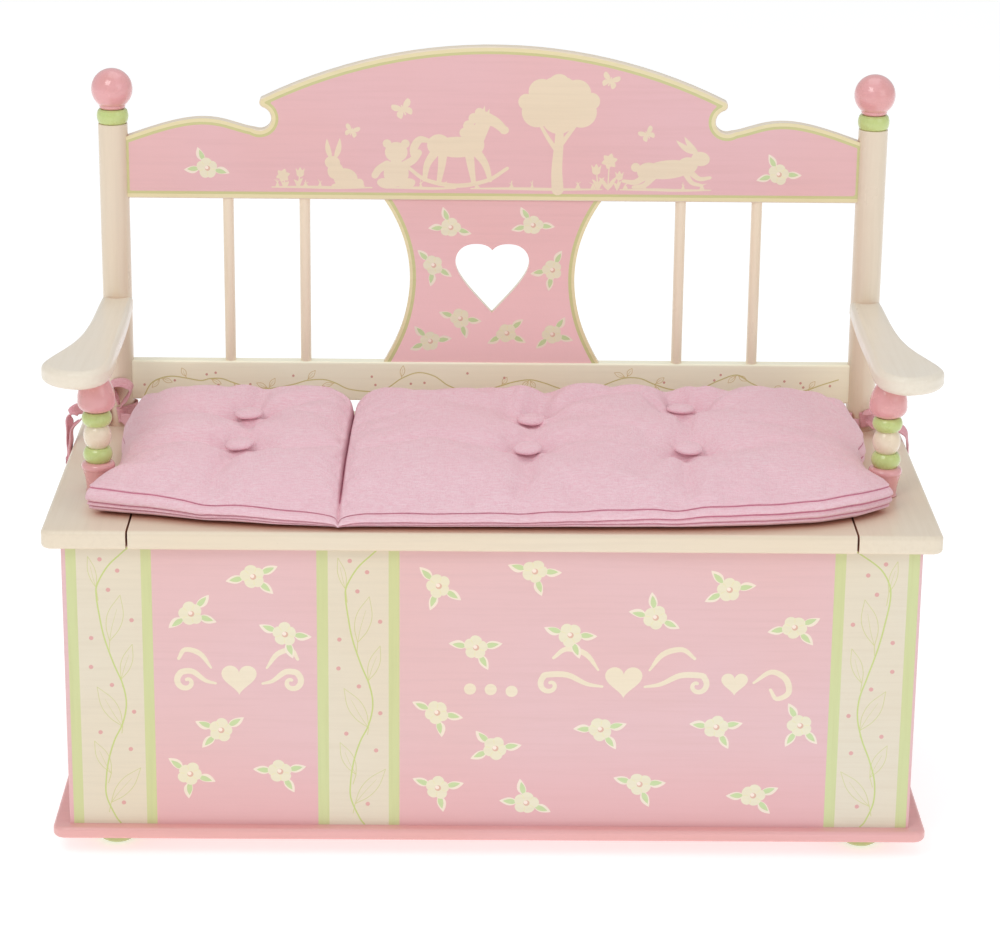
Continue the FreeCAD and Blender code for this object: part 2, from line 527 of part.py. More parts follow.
buttons = []
BUTTONS = [(-237.5, 14.0), (-241.0, -62.0), (39.0, 36.0), (33.5, -62.0), (190.5, 36.0), (186.5, -62.0)]
for bx, by in BUTTONS:
    zt = SEAT_Z + 55.0
    dome = 34.8
    zm = zt + 5.2 - dome + math.sqrt(dome ** 2 - 7.0 ** 2)
    zs = zt + 5.2 - dome + math.sqrt(dome ** 2 - 13.2 ** 2)
    b = turned(bx, by + yo, (13.4, zt), [(14.4, zt + 1.3, 13.2, zs), (7.0, zm, 0, zt + 5.2)], zt + 5.2)
    buttons.append(b)
buttons = Part.makeCompound(buttons)

# ribbon ties: a band round each post foot with a flat bow beside it
tie_r = cylz(POST_X, POST_Y, SEAT_Z + 3.0, SEAT_Z + 21.0, POST_R + 2.8).cut(cylz(POST_X, POST_Y, SEAT_Z, SEAT_Z + 30, POST_R + 0.3))
bow = box(POST_X + POST_R + 0.6, POST_X + POST_R + 17.0, POST_Y - 30.0, POST_Y - 6.0, SEAT_Z + 4.0, SEAT_Z + 22.0)
bow = fillet(bow, 4.0, lambda e: True)
tail = box(355.0, 371.0, POST_Y - 40.0, POST_Y - 13.0, SEAT_Z + 5.0, SEAT_Z + 17.0)
tail = tail.cut(cylz(POST_X, POST_Y, SEAT_Z, SEAT_Z + 30, POST_R + 0.3))
tie_r = tie_r.fuse([bow, tail]).removeSplitter()
tie_r = Part.makeCompound([max(tie_r.Solids, key=lambda s: s.Volume)])

# ---------------------------------------------------------------- write
save("base_board", base)
for n, f in zip(("rear_left", "front_left", "rear_right", "front_right"),
                (feet[1], feet[0], feet[3], feet[2])):
    save("foot_" + n, f)
save("foot_screws", foot_scr)
save("base_screws", base_scr)
save("front_panel", front)
save("back_panel", back)
save("left_side_panel", side_l)
save("right_side_panel", side_r)
save("corner_cleats", cleats)
save("cleat_screws", cleat_scr)
save("left_ledge", ledge_l)
save("right_ledge", ledge_r)
save("ledge_screws", ledge_scr)
save("left_seat_board", seat_l)
save("right_seat_board", seat_r)
save("seat_dowels", dowels)
save("rear_seat_board", rear)
save("lid", lid)
save("lid_battens", battens)
save("hinge_leaf_fixed", leaf_rear)
save("hinge_leaf_lid", leaf_lid)
save("hinge_pin", pin)
save("hinge_screws_fixed", scr_rear)
save("hinge_screws_lid", scr_lid)
save("left_lid_stay", stay_l)
save("right_lid_stay", stay_r)
save("stay_screws", Part.makeCompound(stay_scr_l.Solids + stay_scr_r.Solids))
save("left_stay_guide", guide_l)
save("right_stay_guide", guide_r)
save("guide_screws", Part.makeCompound(guide_scr_l.Solids + guide_scr_r.Solids))
save("left_back_post", mirrored(post))
save("right_back_post", post)
save("post_screws", post_scr)
save("post_collars", Part.makeCompound([mirrored(collar).Solids[0], collar.Solids[0]]))
save("left_finial", mirrored(finial))
save("right_finial", finial)
save("top_rail", top_rail)
save("bottom_rail", low_rail)
save("back_splat", splat)
for k, s in spindles.items():
    save(k, s)
save("left_arm", mirrored(arm_r))
save("right_arm", arm_r)
save("arm_dowels", Part.makeCompound([mirrored(arm_dowel_r).Solids[0], arm_dowel_r.Solids[0]]))
for k in sup:
    save(k + "s", Part.makeCompound([mirrored(sup[k]).Solids[0], sup[k].Solids[0]]))
save("support_rods", Part.makeCompound([mirrored(rod).Solids[0], rod.Solids[0]]))
save("seat_cushion", cush)
save("cushion_buttons", buttons)
save("left_cushion_tie", mirrored(tie_r))
save("right_cushion_tie", tie_r)
print("nodes", len(os.listdir("parts")))
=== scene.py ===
import json
import math
import random

import bmesh
import bpy
import numpy as np
from mathutils import Matrix, Vector
from mathutils.geometry import delaunay_2d_cdt

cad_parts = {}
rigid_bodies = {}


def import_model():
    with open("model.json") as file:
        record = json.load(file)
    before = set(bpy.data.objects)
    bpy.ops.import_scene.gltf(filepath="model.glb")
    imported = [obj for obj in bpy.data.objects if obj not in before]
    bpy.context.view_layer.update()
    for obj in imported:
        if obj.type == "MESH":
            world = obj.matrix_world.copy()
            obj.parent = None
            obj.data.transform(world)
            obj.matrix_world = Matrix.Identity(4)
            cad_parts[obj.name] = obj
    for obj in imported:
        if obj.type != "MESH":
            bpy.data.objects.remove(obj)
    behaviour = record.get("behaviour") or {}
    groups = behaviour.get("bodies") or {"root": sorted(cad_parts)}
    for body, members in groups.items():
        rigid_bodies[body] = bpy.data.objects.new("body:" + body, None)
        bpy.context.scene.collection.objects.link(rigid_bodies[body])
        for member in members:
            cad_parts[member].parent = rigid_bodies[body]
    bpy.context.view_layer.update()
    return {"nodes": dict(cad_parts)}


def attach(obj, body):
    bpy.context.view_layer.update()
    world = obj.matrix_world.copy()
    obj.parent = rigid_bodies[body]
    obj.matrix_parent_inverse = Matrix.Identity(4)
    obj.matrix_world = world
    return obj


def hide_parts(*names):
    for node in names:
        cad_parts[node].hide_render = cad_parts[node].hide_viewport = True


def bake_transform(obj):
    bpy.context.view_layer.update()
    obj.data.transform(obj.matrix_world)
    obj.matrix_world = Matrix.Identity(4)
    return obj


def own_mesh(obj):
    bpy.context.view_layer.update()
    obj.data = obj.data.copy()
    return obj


for o in list(bpy.data.objects):
    bpy.data.objects.remove(o, do_unlink=True)

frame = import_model()
nodes = frame["nodes"]
scene = bpy.context.scene
MM = 0.001
SEAT = 328.0      # top of the seat boards, mm
FIT_Y = 8.6       # shift of the decoration's y datum


# ---------------------------------------------------------------- camera
def place_camera():
    pitch, yaw, roll = 0.3193, 0.0124, 0.0108
    fw = Vector((math.sin(yaw) * math.cos(pitch), math.cos(yaw) * math.cos(pitch), -math.sin(pitch)))
    r0 = Vector((math.cos(yaw), -math.sin(yaw), 0))
    u0 = r0.cross(fw)
    r = math.cos(roll) * r0 + math.sin(roll) * u0
    u = -math.sin(roll) * r0 + math.cos(roll) * u0
    loc = Vector((-0.02842, -2.9487, 1.30883))
    data = bpy.data.cameras.new("camera")
    cam = bpy.data.objects.new("camera", data)
    scene.collection.objects.link(cam)
    cam.matrix_world = Matrix(((r.x, u.x, -fw.x, loc.x), (r.y, u.y, -fw.y, loc.y),
                               (r.z, u.z, -fw.z, loc.z), (0, 0, 0, 1)))
    data.sensor_fit = "HORIZONTAL"
    data.sensor_width = 36.0
    data.lens = 114.75
    data.clip_start, data.clip_end = 0.05, 60
    scene.camera = cam


place_camera()


# ---------------------------------------------------------------- light and floor
def area(name, loc, target, size, watts, colour=(1, 1, 1), size_y=None):
    light = bpy.data.lights.new(name, "AREA")
    light.energy = watts
    light.color = colour
    light.size = size
    if size_y:
        light.shape = "RECTANGLE"
        light.size_y = size_y
    ob = bpy.data.objects.new(name, light)
    scene.collection.objects.link(ob)
    ob.location = loc
    ob.rotation_euler = (Vector(target) - Vector(loc)).to_track_quat("-Z", "Y").to_euler()
    return ob


world = bpy.data.worlds.new("studio")
scene.world = world
world.use_nodes = True
wn = world.node_tree.nodes
wn["Background"].inputs["Color"].default_value = (0.965, 0.985, 1.0, 1)
wn["Background"].inputs["Strength"].default_value = 0.62
area("key", (-1.3, -2.2, 3.0), (0, 0, 0.35), 1.5, 27, (1.0, 0.99, 0.975))
area("fill", (2.4, -2.4, 1.8), (0, 0, 0.35), 1.8, 10, (0.99, 0.995, 1.0))
area("top", (0.1, 0.4, 3.2), (0, 0, 0.3), 2.2, 13, (0.99, 0.995, 1))
scene.view_settings.view_transform = "Standard"
scene.view_settings.look = "None"
scene.view_settings.exposure = 0.0
scene.view_settings.gamma = 1.0


# ---------------------------------------------------------------- materials
def lin(c):
    c = [v / 255 for v in c]
    return tuple(v / 12.92 if v <= 0.04045 else ((v + 0.055) / 1.055) ** 2.4 for v in c) + (1.0,)


def shade(c, k, warm=0.0):
    return tuple(max(0, min(255, v * k + w * warm)) for v, w in zip(c, (1, 0, -1)))


class Mat:
    """A Principled material whose colour, roughness and bump come from procedural nodes in object coordinates."""

    def __init__(self, name):
        self.m = bpy.data.materials.new(name)
        self.m.use_nodes = True
        self.t = self.m.node_tree
        self.t.nodes.clear()
        self.out = self.t.nodes.new("ShaderNodeOutputMaterial")
        self.b = self.t.nodes.new("ShaderNodeBsdfPrincipled")
        self.t.links.new(self.b.outputs[0], self.out.inputs[0])
        self.tc = self.t.nodes.new("ShaderNodeTexCoord")

    def map(self, scale, rot=(0, 0, 0), loc=(0, 0, 0)):
        n = self.t.nodes.new("ShaderNodeMapping")
        n.inputs["Scale"].default_value = scale
        n.inputs["Rotation"].default_value = rot
        n.inputs["Location"].default_value = loc
        self.t.links.new(self.tc.outputs["Object"], n.inputs["Vector"])
        return n.outputs[0]

    def noise(self, scale, detail=3.0, rough=0.55, distortion=0.0, rot=(0, 0, 0), loc=(0, 0, 0)):
        n = self.t.nodes.new("ShaderNodeTexNoise")
        self.t.links.new(self.map(scale, rot, loc), n.inputs["Vector"])
        n.inputs["Scale"].default_value = 1.0
        n.inputs["Detail"].default_value = detail
        n.inputs["Roughness"].default_value = rough
        n.inputs["Distortion"].default_value = distortion
        return n.outputs["Fac"]

    def range(self, v, a, b, lo=0.0, hi=1.0, smooth=False):
        n = self.t.nodes.new("ShaderNodeMapRange")
        if smooth:
            n.interpolation_type = "SMOOTHSTEP"
        self.t.links.new(v, n.inputs["Value"])
        n.inputs["From Min"].default_value = a
        n.inputs["From Max"].default_value = b
        n.inputs["To Min"].default_value = lo
        n.inputs["To Max"].default_value = hi
        return n.outputs[0]

    def mix(self, f, a, b, mode="MIX"):
        n = self.t.nodes.new("ShaderNodeMix")
        n.data_type = "RGBA"
        n.blend_type = mode
        for sock, val in ((n.inputs[0], f), (n.inputs[6], a), (n.inputs[7], b)):
            if isinstance(val, bpy.types.NodeSocket):
                self.t.links.new(val, sock)
            else:
                sock.default_value = val
        return n.outputs[2]

    def math(self, op, a, b=0.0):
        n = self.t.nodes.new("ShaderNodeMath")
        n.operation = op
        for sock, val in ((n.inputs[0], a), (n.inputs[1], b)):
            if isinstance(val, bpy.types.NodeSocket):
                self.t.links.new(val, sock)
            else:
                sock.default_value = val
        return n.outputs[0]

    def wave(self, scale, rot=(0, 0, 0), distortion=0.0, detail=1.0):
        n = self.t.nodes.new("ShaderNodeTexWave")
        self.t.links.new(self.map(scale, rot), n.inputs["Vector"])
        n.inputs["Scale"].default_value = 1.0
        n.inputs["Distortion"].default_value = distortion
        n.inputs["Detail"].default_value = detail
        return n.outputs["Fac"]

    def split(self):
        n = self.t.nodes.new("ShaderNodeSeparateXYZ")
        self.t.links.new(self.tc.outputs["Object"], n.inputs[0])
        return n.outputs

    def bump(self, height, strength, distance, normal=None):
        n = self.t.nodes.new("ShaderNodeBump")
        n.inputs["Strength"].default_value = strength
        n.inputs["Distance"].default_value = distance
        self.t.links.new(height, n.inputs["Height"])
        if normal is not None:
            self.t.links.new(normal, n.inputs["Normal"])
        return n.outputs[0]

    def to(self, name, v):
        sock = self.b.inputs[name]
        if isinstance(v, bpy.types.NodeSocket):
            self.t.links.new(v, sock)
        else:
            sock.default_value = v


AX = {"x": (0, 1, 2), "y": (1, 0, 2), "z": (2, 0, 1)}


def along(axis, a, b):
    """A scale with value a along the grain axis and b across it."""
    s = [b, b, b]
    s["xyz".index(axis)] = a
    return tuple(s)


def painted(name, rgb, axis="x", rough=0.36, gloss=0.25, var=0.02, bump=1.0, warm=6, lower=None, painted_crevice_shade=None):
    """Satin lacquer over wood: roller texture, faint grain telegraphing, patchy tone, tiny dust nibs. Optionally a
    height ramp of painted shade (darker tone) or painted light (lighter tone), and painted shade in crevices from an
    occlusion mask.
    """
    m = Mat(name)
    patch = m.noise((4.2, 4.2, 4.2), 2.0, 0.5)
    streak = m.noise(along(axis, 9, 230), 3.0, 0.6)
    fine = m.noise((700, 700, 700), 2.0, 0.5)
    base = m.mix(m.range(patch, 0.3, 0.7), lin(shade(rgb, 1 - var, warm)), lin(shade(rgb, 1 + var * 0.6)))
    base = m.mix(m.range(streak, 0.45, 0.80, 0.0, 0.55), base, lin(shade(rgb, 0.955, warm * 0.7)))
    base = m.mix(m.range(m.noise((240, 240, 240), 2.0, 0.6), 0.74, 0.82, 0.0, 0.35), base, lin(shade(rgb, 0.90, warm)))
    # painted light and shade by height: the colour is blended towards the given tone near the low end of the z range
    if lower is not None:
        z0, z1, amount, tone = lower
        z = m.split()[2]
        base = m.mix(m.range(z, z0, z1, amount, 0.0, True), base, lin(tone))
    # painted shade: an ambient-occlusion mask mixes a darker, warmer tone into crevices, corners and the faces close
    # under other parts
    if painted_crevice_shade is not None:
        tone, reach, most = painted_crevice_shade
        ao = m.t.nodes.new("ShaderNodeAmbientOcclusion")
        ao.samples = 6
        ao.inputs["Distance"].default_value = reach
        base = m.mix(m.range(ao.outputs["AO"], 0.05, 0.66, most, 0.0, True), base, lin(tone))
    m.to("Base Color", base)
    r = m.math("ADD", m.range(m.noise((32, 32, 32), 3.0), 0.3, 0.7, rough - 0.05, rough + 0.07),
               m.range(streak, 0.4, 0.8, 0.0, 0.06))
    m.to("Roughness", r)
    peel = m.noise((420, 420, 420), 1.0, 0.4)
    n = m.bump(peel, 0.10 * bump, 0.0006)
    n = m.bump(m.noise(along(axis, 14, 620), 2.0, 0.6), 0.10 * bump, 0.0005, n)
    n = m.bump(fine, 0.05 * bump, 0.0002, n)
    m.to("Normal", n)
    m.to("Coat Weight", gloss)
    m.to("Coat Roughness", 0.16)
    return m.m


def turned_gloss(name, rgb, gloss=0.7, rough=0.25):
    """Thick gloss enamel on a turned part: faint lathe rings and soft orange peel."""
    m = Mat(name)
    patch = m.noise((60, 60, 60), 2.0)
    base = m.mix(m.range(patch, 0.3, 0.7), lin(shade(rgb, 0.97, 4)), lin(shade(rgb, 1.015)))
    base = m.mix(m.range(m.noise((300, 300, 300), 2.0), 0.72, 0.8, 0, 0.3), base, lin(shade(rgb, 0.88, 4)))
    m.to("Base Color", base)
    m.to("Roughness", m.range(m.noise((90, 90, 90), 2.0), 0.3, 0.7, rough - 0.05, rough + 0.08))
    n = m.bump(m.noise((260, 260, 260), 1.0, 0.4), 0.10, 0.0006)
    n = m.bump(m.noise((25, 25, 900), 1.0), 0.05, 0.0004, n)
    m.to("Normal", n)
    m.to("Coat Weight", gloss)
    m.to("Coat Roughness", 0.08)
    return m.m


def wood(name, a=(222, 188, 140), b=(193, 150, 101), axis="x"):
    m = Mat(name)
    warp = m.noise(along(axis, 3, 26), 4.0, 0.6, 0.6)
    ring = m.wave(along(axis, 1.2, 60), distortion=6.0, detail=3)
    pore = m.noise(along(axis, 30, 1400), 2.0, 0.6)
    base = m.mix(m.range(ring, 0.1, 0.9), lin(a), lin(b))
    base = m.mix(m.range(warp, 0.35, 0.75, 0, 0.6), base, lin(shade(b, 0.93)))
    base = m.mix(m.range(pore, 0.62, 0.74, 0, 0.45), base, lin(shade(b, 0.72)))
    m.to("Base Color", base)
    m.to("Roughness", m.range(pore, 0.3, 0.7, 0.55, 0.72))
    m.to("Normal", m.bump(pore, 0.25, 0.0005))
    return m.m


def metal(name, rgb=(196, 196, 192), rough=0.3):
    m = Mat(name)
    s = m.noise((900, 60, 900), 2.0)
    m.to("Base Color", m.mix(m.range(m.noise((50, 50, 50), 3.0), 0.3, 0.7), lin(shade(rgb, 0.90, 4)), lin(rgb)))
    m.to("Metallic", 1.0)
    m.to("Roughness", m.range(s, 0.3, 0.7, rough - 0.06, rough + 0.14))
    m.to("Normal", m.bump(s, 0.12, 0.0002))
    return m.m


def plastic(name, rgb=(232, 230, 222)):
    m = Mat(name)
    m.to("Base Color", m.mix(m.range(m.noise((70, 70, 70)), 0.3, 0.7), lin(shade(rgb, 0.96)), lin(rgb)))
    m.to("Roughness", m.range(m.noise((300, 300, 300)), 0.3, 0.7, 0.38, 0.52))
    m.to("Normal", m.bump(m.noise((900, 900, 900)), 0.08, 0.0002))
    return m.m


def linen(name, rgb, pale, deep, thread=0.0011):
    """Plain-weave slub linen: warp and weft ribs, long slubs both ways, chambray mottling, soft sheen."""
    m = Mat(name)
    k = 1.0 / thread
    sx = m.noise((120, 760, 760), 2.0, 0.6)
    sy = m.noise((760, 120, 760), 2.0, 0.6)
    sx2 = m.noise((90, 1500, 1500), 2.0, 0.6, loc=(3, 1, 2))
    sy2 = m.noise((1500, 90, 1500), 2.0, 0.6, loc=(5, 2, 7))
    blotch = m.noise((16, 16, 16), 3.0, 0.55)
    base = m.mix(m.range(sx, 0.36, 0.66), lin(rgb), lin(pale))
    base = m.mix(m.range(sy, 0.36, 0.68, 0.0, 0.60), base, lin(shade(pale, 1.01)))
    base = m.mix(m.range(sx2, 0.5, 0.75, 0.0, 0.5), base, lin(deep))
    base = m.mix(m.range(sy2, 0.5, 0.75, 0.0, 0.45), base, lin(deep))
    base = m.mix(m.range(blotch, 0.35, 0.7, 0.0, 0.28), base, lin(rgb))
    m.to("Base Color", base)
    m.to("Roughness", m.range(sx2, 0.3, 0.7, 0.74, 0.92))
    rib = m.math("ADD", m.wave((k * 0.31416 / 2, 0, 0), distortion=0.4),
                 m.wave((0, k * 0.31416 / 2, 0), rot=(0, 0, 0), distortion=0.4))
    slub = m.math("ADD", m.range(sx, 0.3, 0.75), m.range(sy, 0.3, 0.75))
    n = m.bump(slub, 0.35, 0.0006)
    n = m.bump(m.math("ADD", sx2, sy2), 0.45, 0.0005, n)
    n = m.bump(rib, 0.15, 0.0003, n)
    m.to("Normal", n)
    m.to("Sheen Weight", 0.25)
    m.to("Sheen Roughness", 0.5)
    m.to("Sheen Tint", (1.0, 0.86, 0.88, 1.0))
    m.to("Specular IOR Level", 0.2)
    return m.m


PINK, PINK_RAIL = (227, 189, 193), (230, 186, 191)
CREAM = (231, 219, 199)
# painted shade for crevices: darker warm tone, occlusion reach in metres, strongest mix
CREVICE_SHADE_TONE = ((196, 124, 92), 0.034, 0.8)
M = {
    # painted shade: the front panel's pink is darkened towards its lower edge
    "pink": painted("pink_front", PINK, "x", 0.42, 0.15, 0.012, lower=(0.03, 0.14, 0.55, (231, 172, 174))),
    "pink_side": painted("pink_side", PINK, "y", 0.42, 0.15, 0.015),
    "pink_rail": painted("pink_rail", PINK_RAIL, "x", 0.40, 0.15, 0.012),
    "pink_base": painted("pink_base", (232, 176, 176), "x", 0.34, 0.3, 0.015),
    "cream_x": painted("cream_boards_x", CREAM, "x", 0.34, 0.30, 0.014, painted_crevice_shade=CREVICE_SHADE_TONE),
    # painted light: a lightened copy of the cream for the shaded bottom rail, with weaker painted crevice shade
    "cream_rail_painted_light": painted("cream_rail_painted_light", (255, 251, 229), "x", 0.34, 0.30, 0.014, painted_crevice_shade=((232, 190, 150), 0.02, 0.35)),
    "cream_spindle": painted("cream_spindles", (240, 226, 204), "z", 0.30, 0.40, 0.014),
    # painted light: the splat's pink is lightened towards its lower end, where it sits in shade
    "pink_splat": painted("pink_splat", (233, 187, 190), "x", 0.40, 0.15, 0.012, lower=(0.385, 0.56, 0.95, (252, 206, 207))),
    "cream_y": painted("cream_boards_y", CREAM, "y", 0.34, 0.30, 0.014, painted_crevice_shade=CREVICE_SHADE_TONE),
    "cream_z": painted("cream_turned_z", (229, 215, 195), "z", 0.30, 0.40, 0.014, painted_crevice_shade=CREVICE_SHADE_TONE),
    "cream_arm": painted("cream_arms", (235, 226, 210), "y", 0.32, 0.30, 0.012, painted_crevice_shade=CREVICE_SHADE_TONE),
    "cream_print": painted("cream_print", (226, 217, 198), "x", 0.42, 0.12, 0.012),
    "green_print": painted("green_print", (207, 214, 160), "z", 0.42, 0.12, 0.015),
    "green_line": painted("green_line", (206, 205, 150), "x", 0.42, 0.12, 0.015),
    "cream_edge": painted("cream_edge", (232, 222, 180), "x", 0.38, 0.2, 0.012),
    "petal": painted("petal_print", (233, 228, 203), "x", 0.42, 0.12, 0.012),
    "petal_in": painted("petal_inner_print", (233, 228, 188), "x", 0.42, 0.12, 0.012),
    "leaf_rim": painted("leaf_rim_print", (240, 228, 213), "x", 0.42, 0.12, 0.01),
    "leaf": painted("leaf_print", (198, 217, 166), "x", 0.42, 0.12, 0.02),
    "eye_ring": painted("flower_eye_ring", (222, 184, 166), "x", 0.42, 0.12, 0.01),
    "eye": painted("flower_eye", (247, 232, 222), "x", 0.42, 0.12, 0.01),
    "vine": painted("vine_print", (198, 211, 138), "z", 0.42, 0.12, 0.02),
    "vine_thin": painted("vine_thin_print", (208, 208, 152), "z", 0.42, 0.12, 0.02),
    "dot": painted("dot_print", (221, 168, 166), "x", 0.42, 0.12, 0.02),
    "green_gloss": turned_gloss("green_gloss", (198, 214, 138), 0.6, 0.28),
    "green_foot": turned_gloss("green_foot", (188, 200, 130), 0.5, 0.30),
    "pink_gloss": turned_gloss("pink_gloss", (229, 166, 168), 0.75, 0.24),
    "cream_gloss": turned_gloss("cream_gloss", (240, 224, 200), 0.6, 0.26),
    "wood_x": wood("bare_wood_x", axis="x"),
    "wood_y": wood("bare_wood_y", axis="y"),
    "wood_z": wood("bare_wood_z", axis="z"),
    "steel": metal("zinc_steel"),
    "nylon": plastic("nylon_white"),
    "linen": linen("pink_linen", (237, 190, 201), (242, 211, 218), (228, 168, 184)),
    # darker linen: painted shade in the seam grooves and along the fold, at the grooves also standing for the stitch
    # lines
    "linen_seam_shade": linen("pink_linen_seam", (204, 124, 148), (216, 144, 164), (190, 104, 130)),
    "ribbon": linen("pink_linen_tie", (226, 160, 170), (235, 188, 194), (208, 130, 142)),
}
floor_m = Mat("floor_white")
floor_m.to("Base Color", floor_m.mix(floor_m.range(floor_m.noise((0.8, 0.8, 0.8)), 0.3, 0.7), (0.74, 0.74, 0.74, 1),
                                     (0.76, 0.76, 0.76, 1)))
floor_m.to("Roughness", floor_m.range(floor_m.noise((9, 9, 9)), 0.3, 0.7, 0.75, 0.9))
floor_m.to("Specular IOR Level", 0.1)
floor_m.to("Emission Color", (1, 1, 1, 1))
floor_m.to("Emission Strength", 0.52)
bpy.ops.mesh.primitive_grid_add(x_subdivisions=8, y_subdivisions=8, size=30, location=(0, 4, -0.0005))
floor = bpy.context.object
floor.name = "studio_floor"
floor.data.materials.append(floor_m.m)

NODE_MATERIAL = {
    "cream_x": ["lid", "rear_seat_board", "back_splat"],
    "cream_rail_painted_light": ["bottom_rail"],
    "cream_y": ["left_seat_board", "right_seat_board"],
    "cream_z": ["left_back_post", "right_back_post"],
    "cream_spindle": ["left_inner_spindle", "left_outer_spindle", "right_inner_spindle", "right_outer_spindle"],
    "cream_arm": ["left_arm", "right_arm"],
    "pink": ["front_panel", "back_panel"],
    "pink_rail": ["top_rail"],
    "pink_side": ["left_side_panel", "right_side_panel"],
    "pink_base": ["base_board"],
    "green_foot": ["foot_front_left", "foot_front_right", "foot_rear_left", "foot_rear_right"],
    "green_gloss": ["post_collars", "support_lower_rings", "support_upper_rings"],
    "pink_gloss": ["support_bases", "support_vases", "left_finial", "right_finial"],
    "cream_gloss": ["support_beads"],
    "steel": ["base_screws", "cleat_screws", "foot_screws", "guide_screws", "hinge_leaf_fixed", "hinge_leaf_lid",
              "hinge_pin", "hinge_screws_fixed", "hinge_screws_lid", "ledge_screws", "left_lid_stay",
              "right_lid_stay", "post_screws", "stay_screws", "support_rods"],
    "nylon": ["left_stay_guide", "right_stay_guide"],
    "wood_z": ["corner_cleats", "arm_dowels", "seat_dowels"],
    "wood_y": ["left_ledge", "right_ledge", "lid_battens"],
    "linen": ["seat_cushion", "cushion_buttons", "left_cushion_tie", "right_cushion_tie"],
}
for key, names in NODE_MATERIAL.items():
    for n in names:
        ob = nodes[n]
        ob.data.materials.clear()
        ob.data.materials.append(M[key])
        for p in ob.data.polygons:
            p.material_index = 0
for n, ob in nodes.items():
    if not ob.data.materials or ob.data.materials[0] is None or ob.data.materials[0].name not in bpy.data.materials:
        raise SystemExit(f"no material for {n}")


# ---------------------------------------------------------------- small 2-D drawing kit, x and z in mm
def catmull(pts, per=8, closed=False):
    p = [np.array(q, float) for q in pts]
    n = len(p)
    out = []
    last = n if closed else n - 1
    for i in range(last):
        if closed:
            a, b, c, d = p[(i - 1) % n], p[i], p[(i + 1) % n], p[(i + 2) % n]
        else:
            b, c = p[i], p[i + 1]
            a = p[i - 1] if i else 2 * b - c
            d = p[i + 2] if i + 2 < n else 2 * c - b
        for k in range(per):
            t = k / per
            out.append(0.5 * ((2 * b) + (c - a) * t + (2 * a - 5 * b + 4 * c - d) * t * t
                              + (3 * b - a - 3 * c + d) * t ** 3))
    if not closed:
        out.append(p[-1])
    return np.array(out)


def ellipse(cx, cz, rx, rz=None, rot=0.0, n=28):
    rz = rx if rz is None else rz
    a = np.linspace(0, 2 * math.pi, n, endpoint=False)
    x, z = rx * np.cos(a), rz * np.sin(a)
    c, s = math.cos(math.radians(rot)), math.sin(math.radians(rot))
    return np.stack([cx + x * c - z * s, cz + x * s + z * c], 1)


def stroke(pts, w0, w1=None, wm=None, smooth=6, caps=True):
    """A brush stroke along a curve, w0 wide at its start, w1 at its end and wm in its middle."""
    w1 = w0 if w1 is None else w1
    c = catmull(pts, smooth) if smooth and len(pts) > 2 else np.array(pts, float)
    d = np.gradient(c, axis=0)
    d /= np.maximum(np.linalg.norm(d, axis=1), 1e-9)[:, None]
    nrm = np.stack([-d[:, 1], d[:, 0]], 1)
    s = np.concatenate([[0], np.cumsum(np.linalg.norm(np.diff(c, axis=0), axis=1))])
    t = s / s[-1]
    if wm is None:
        w = w0 + (w1 - w0) * t
    else:
        w = np.where(t < 0.5, w0 + (wm - w0) * np.sin(t * math.pi), w1 + (wm - w1) * np.sin(t * math.pi))
    left, right = c + nrm * w[:, None] / 2, c - nrm * w[:, None] / 2
    parts = [np.concatenate([left, right[::-1]])]
    if not caps:
        return parts
    out = parts
    if w[0] > 0.8:
        out.append(ellipse(c[0][0], c[0][1], w[0] / 2, n=14))
    if w[-1] > 0.8:
        out.append(ellipse(c[-1][0], c[-1][1], w[-1] / 2, n=14))
    return out


def bands(pts, w0, w1=None, wm=None, smooth=6):
    """The same stroke as a chain of short quads, safe where it curls over itself."""
    w1 = w0 if w1 is None else w1
    c = catmull(pts, smooth) if smooth and len(pts) > 2 else np.array(pts, float)
    s = np.concatenate([[0], np.cumsum(np.linalg.norm(np.diff(c, axis=0), axis=1))])
    t = s / s[-1]
    w = w0 + (w1 - w0) * t if wm is None else np.where(
        t < 0.5, w0 + (wm - w0) * np.sin(t * math.pi), w1 + (wm - w1) * np.sin(t * math.pi))
    d = np.gradient(c, axis=0)
    d /= np.maximum(np.linalg.norm(d, axis=1), 1e-9)[:, None]
    nrm = np.stack([-d[:, 1], d[:, 0]], 1)
    left, right = c + nrm * w[:, None] / 2, c - nrm * w[:, None] / 2
    out = [np.array([left[i], left[i + 1], right[i + 1], right[i]]) for i in range(len(c) - 1)]
    for i in (0, -1):
        if w[i] > 0.8:
            out.append(ellipse(c[i][0], c[i][1], w[i] / 2, n=14))
    return out


def ccw(p):
    x, z = p[:, 0], p[:, 1]
    return p if (x * np.roll(z, -1) - np.roll(x, -1) * z).sum() > 0 else p[::-1]


def heart(cx, cz, w, rot=0.0):
    t = np.linspace(0, 2 * math.pi, 44, endpoint=False)
    x = 16 * np.sin(t) ** 3 / 32 * w
    z = (13 * np.cos(t) - 5 * np.cos(2 * t) - 2 * np.cos(3 * t) - np.cos(4 * t)) / 32 * w
    c, s = math.cos(math.radians(rot)), math.sin(math.radians(rot))
    return np.stack([cx + x * c - z * s, cz + x * s + z * c], 1)


def leaf_shape(cx, cz, ang, r0, r1, w, bend=0.0, n=9):
    """A pointed leaf from radius r0 to r1 out of (cx, cz)."""
    a = math.radians(ang)
    d, q = np.array([math.cos(a), math.sin(a)]), np.array([-math.sin(a), math.cos(a)])
    t = np.linspace(0, 1, n)
    half = w / 2 * np.sin(math.pi * t ** 0.78) ** 0.85
    half[0], half[-1] = w * 0.10, 0.0
    mid = np.array([cx, cz]) + np.outer(r0 + (r1 - r0) * t, d) + np.outer(bend * np.sin(math.pi * t * 0.9), q)
    up, dn = mid + np.outer(half, q), mid - np.outer(half, q)
    return np.concatenate([up, dn[-2::-1]])


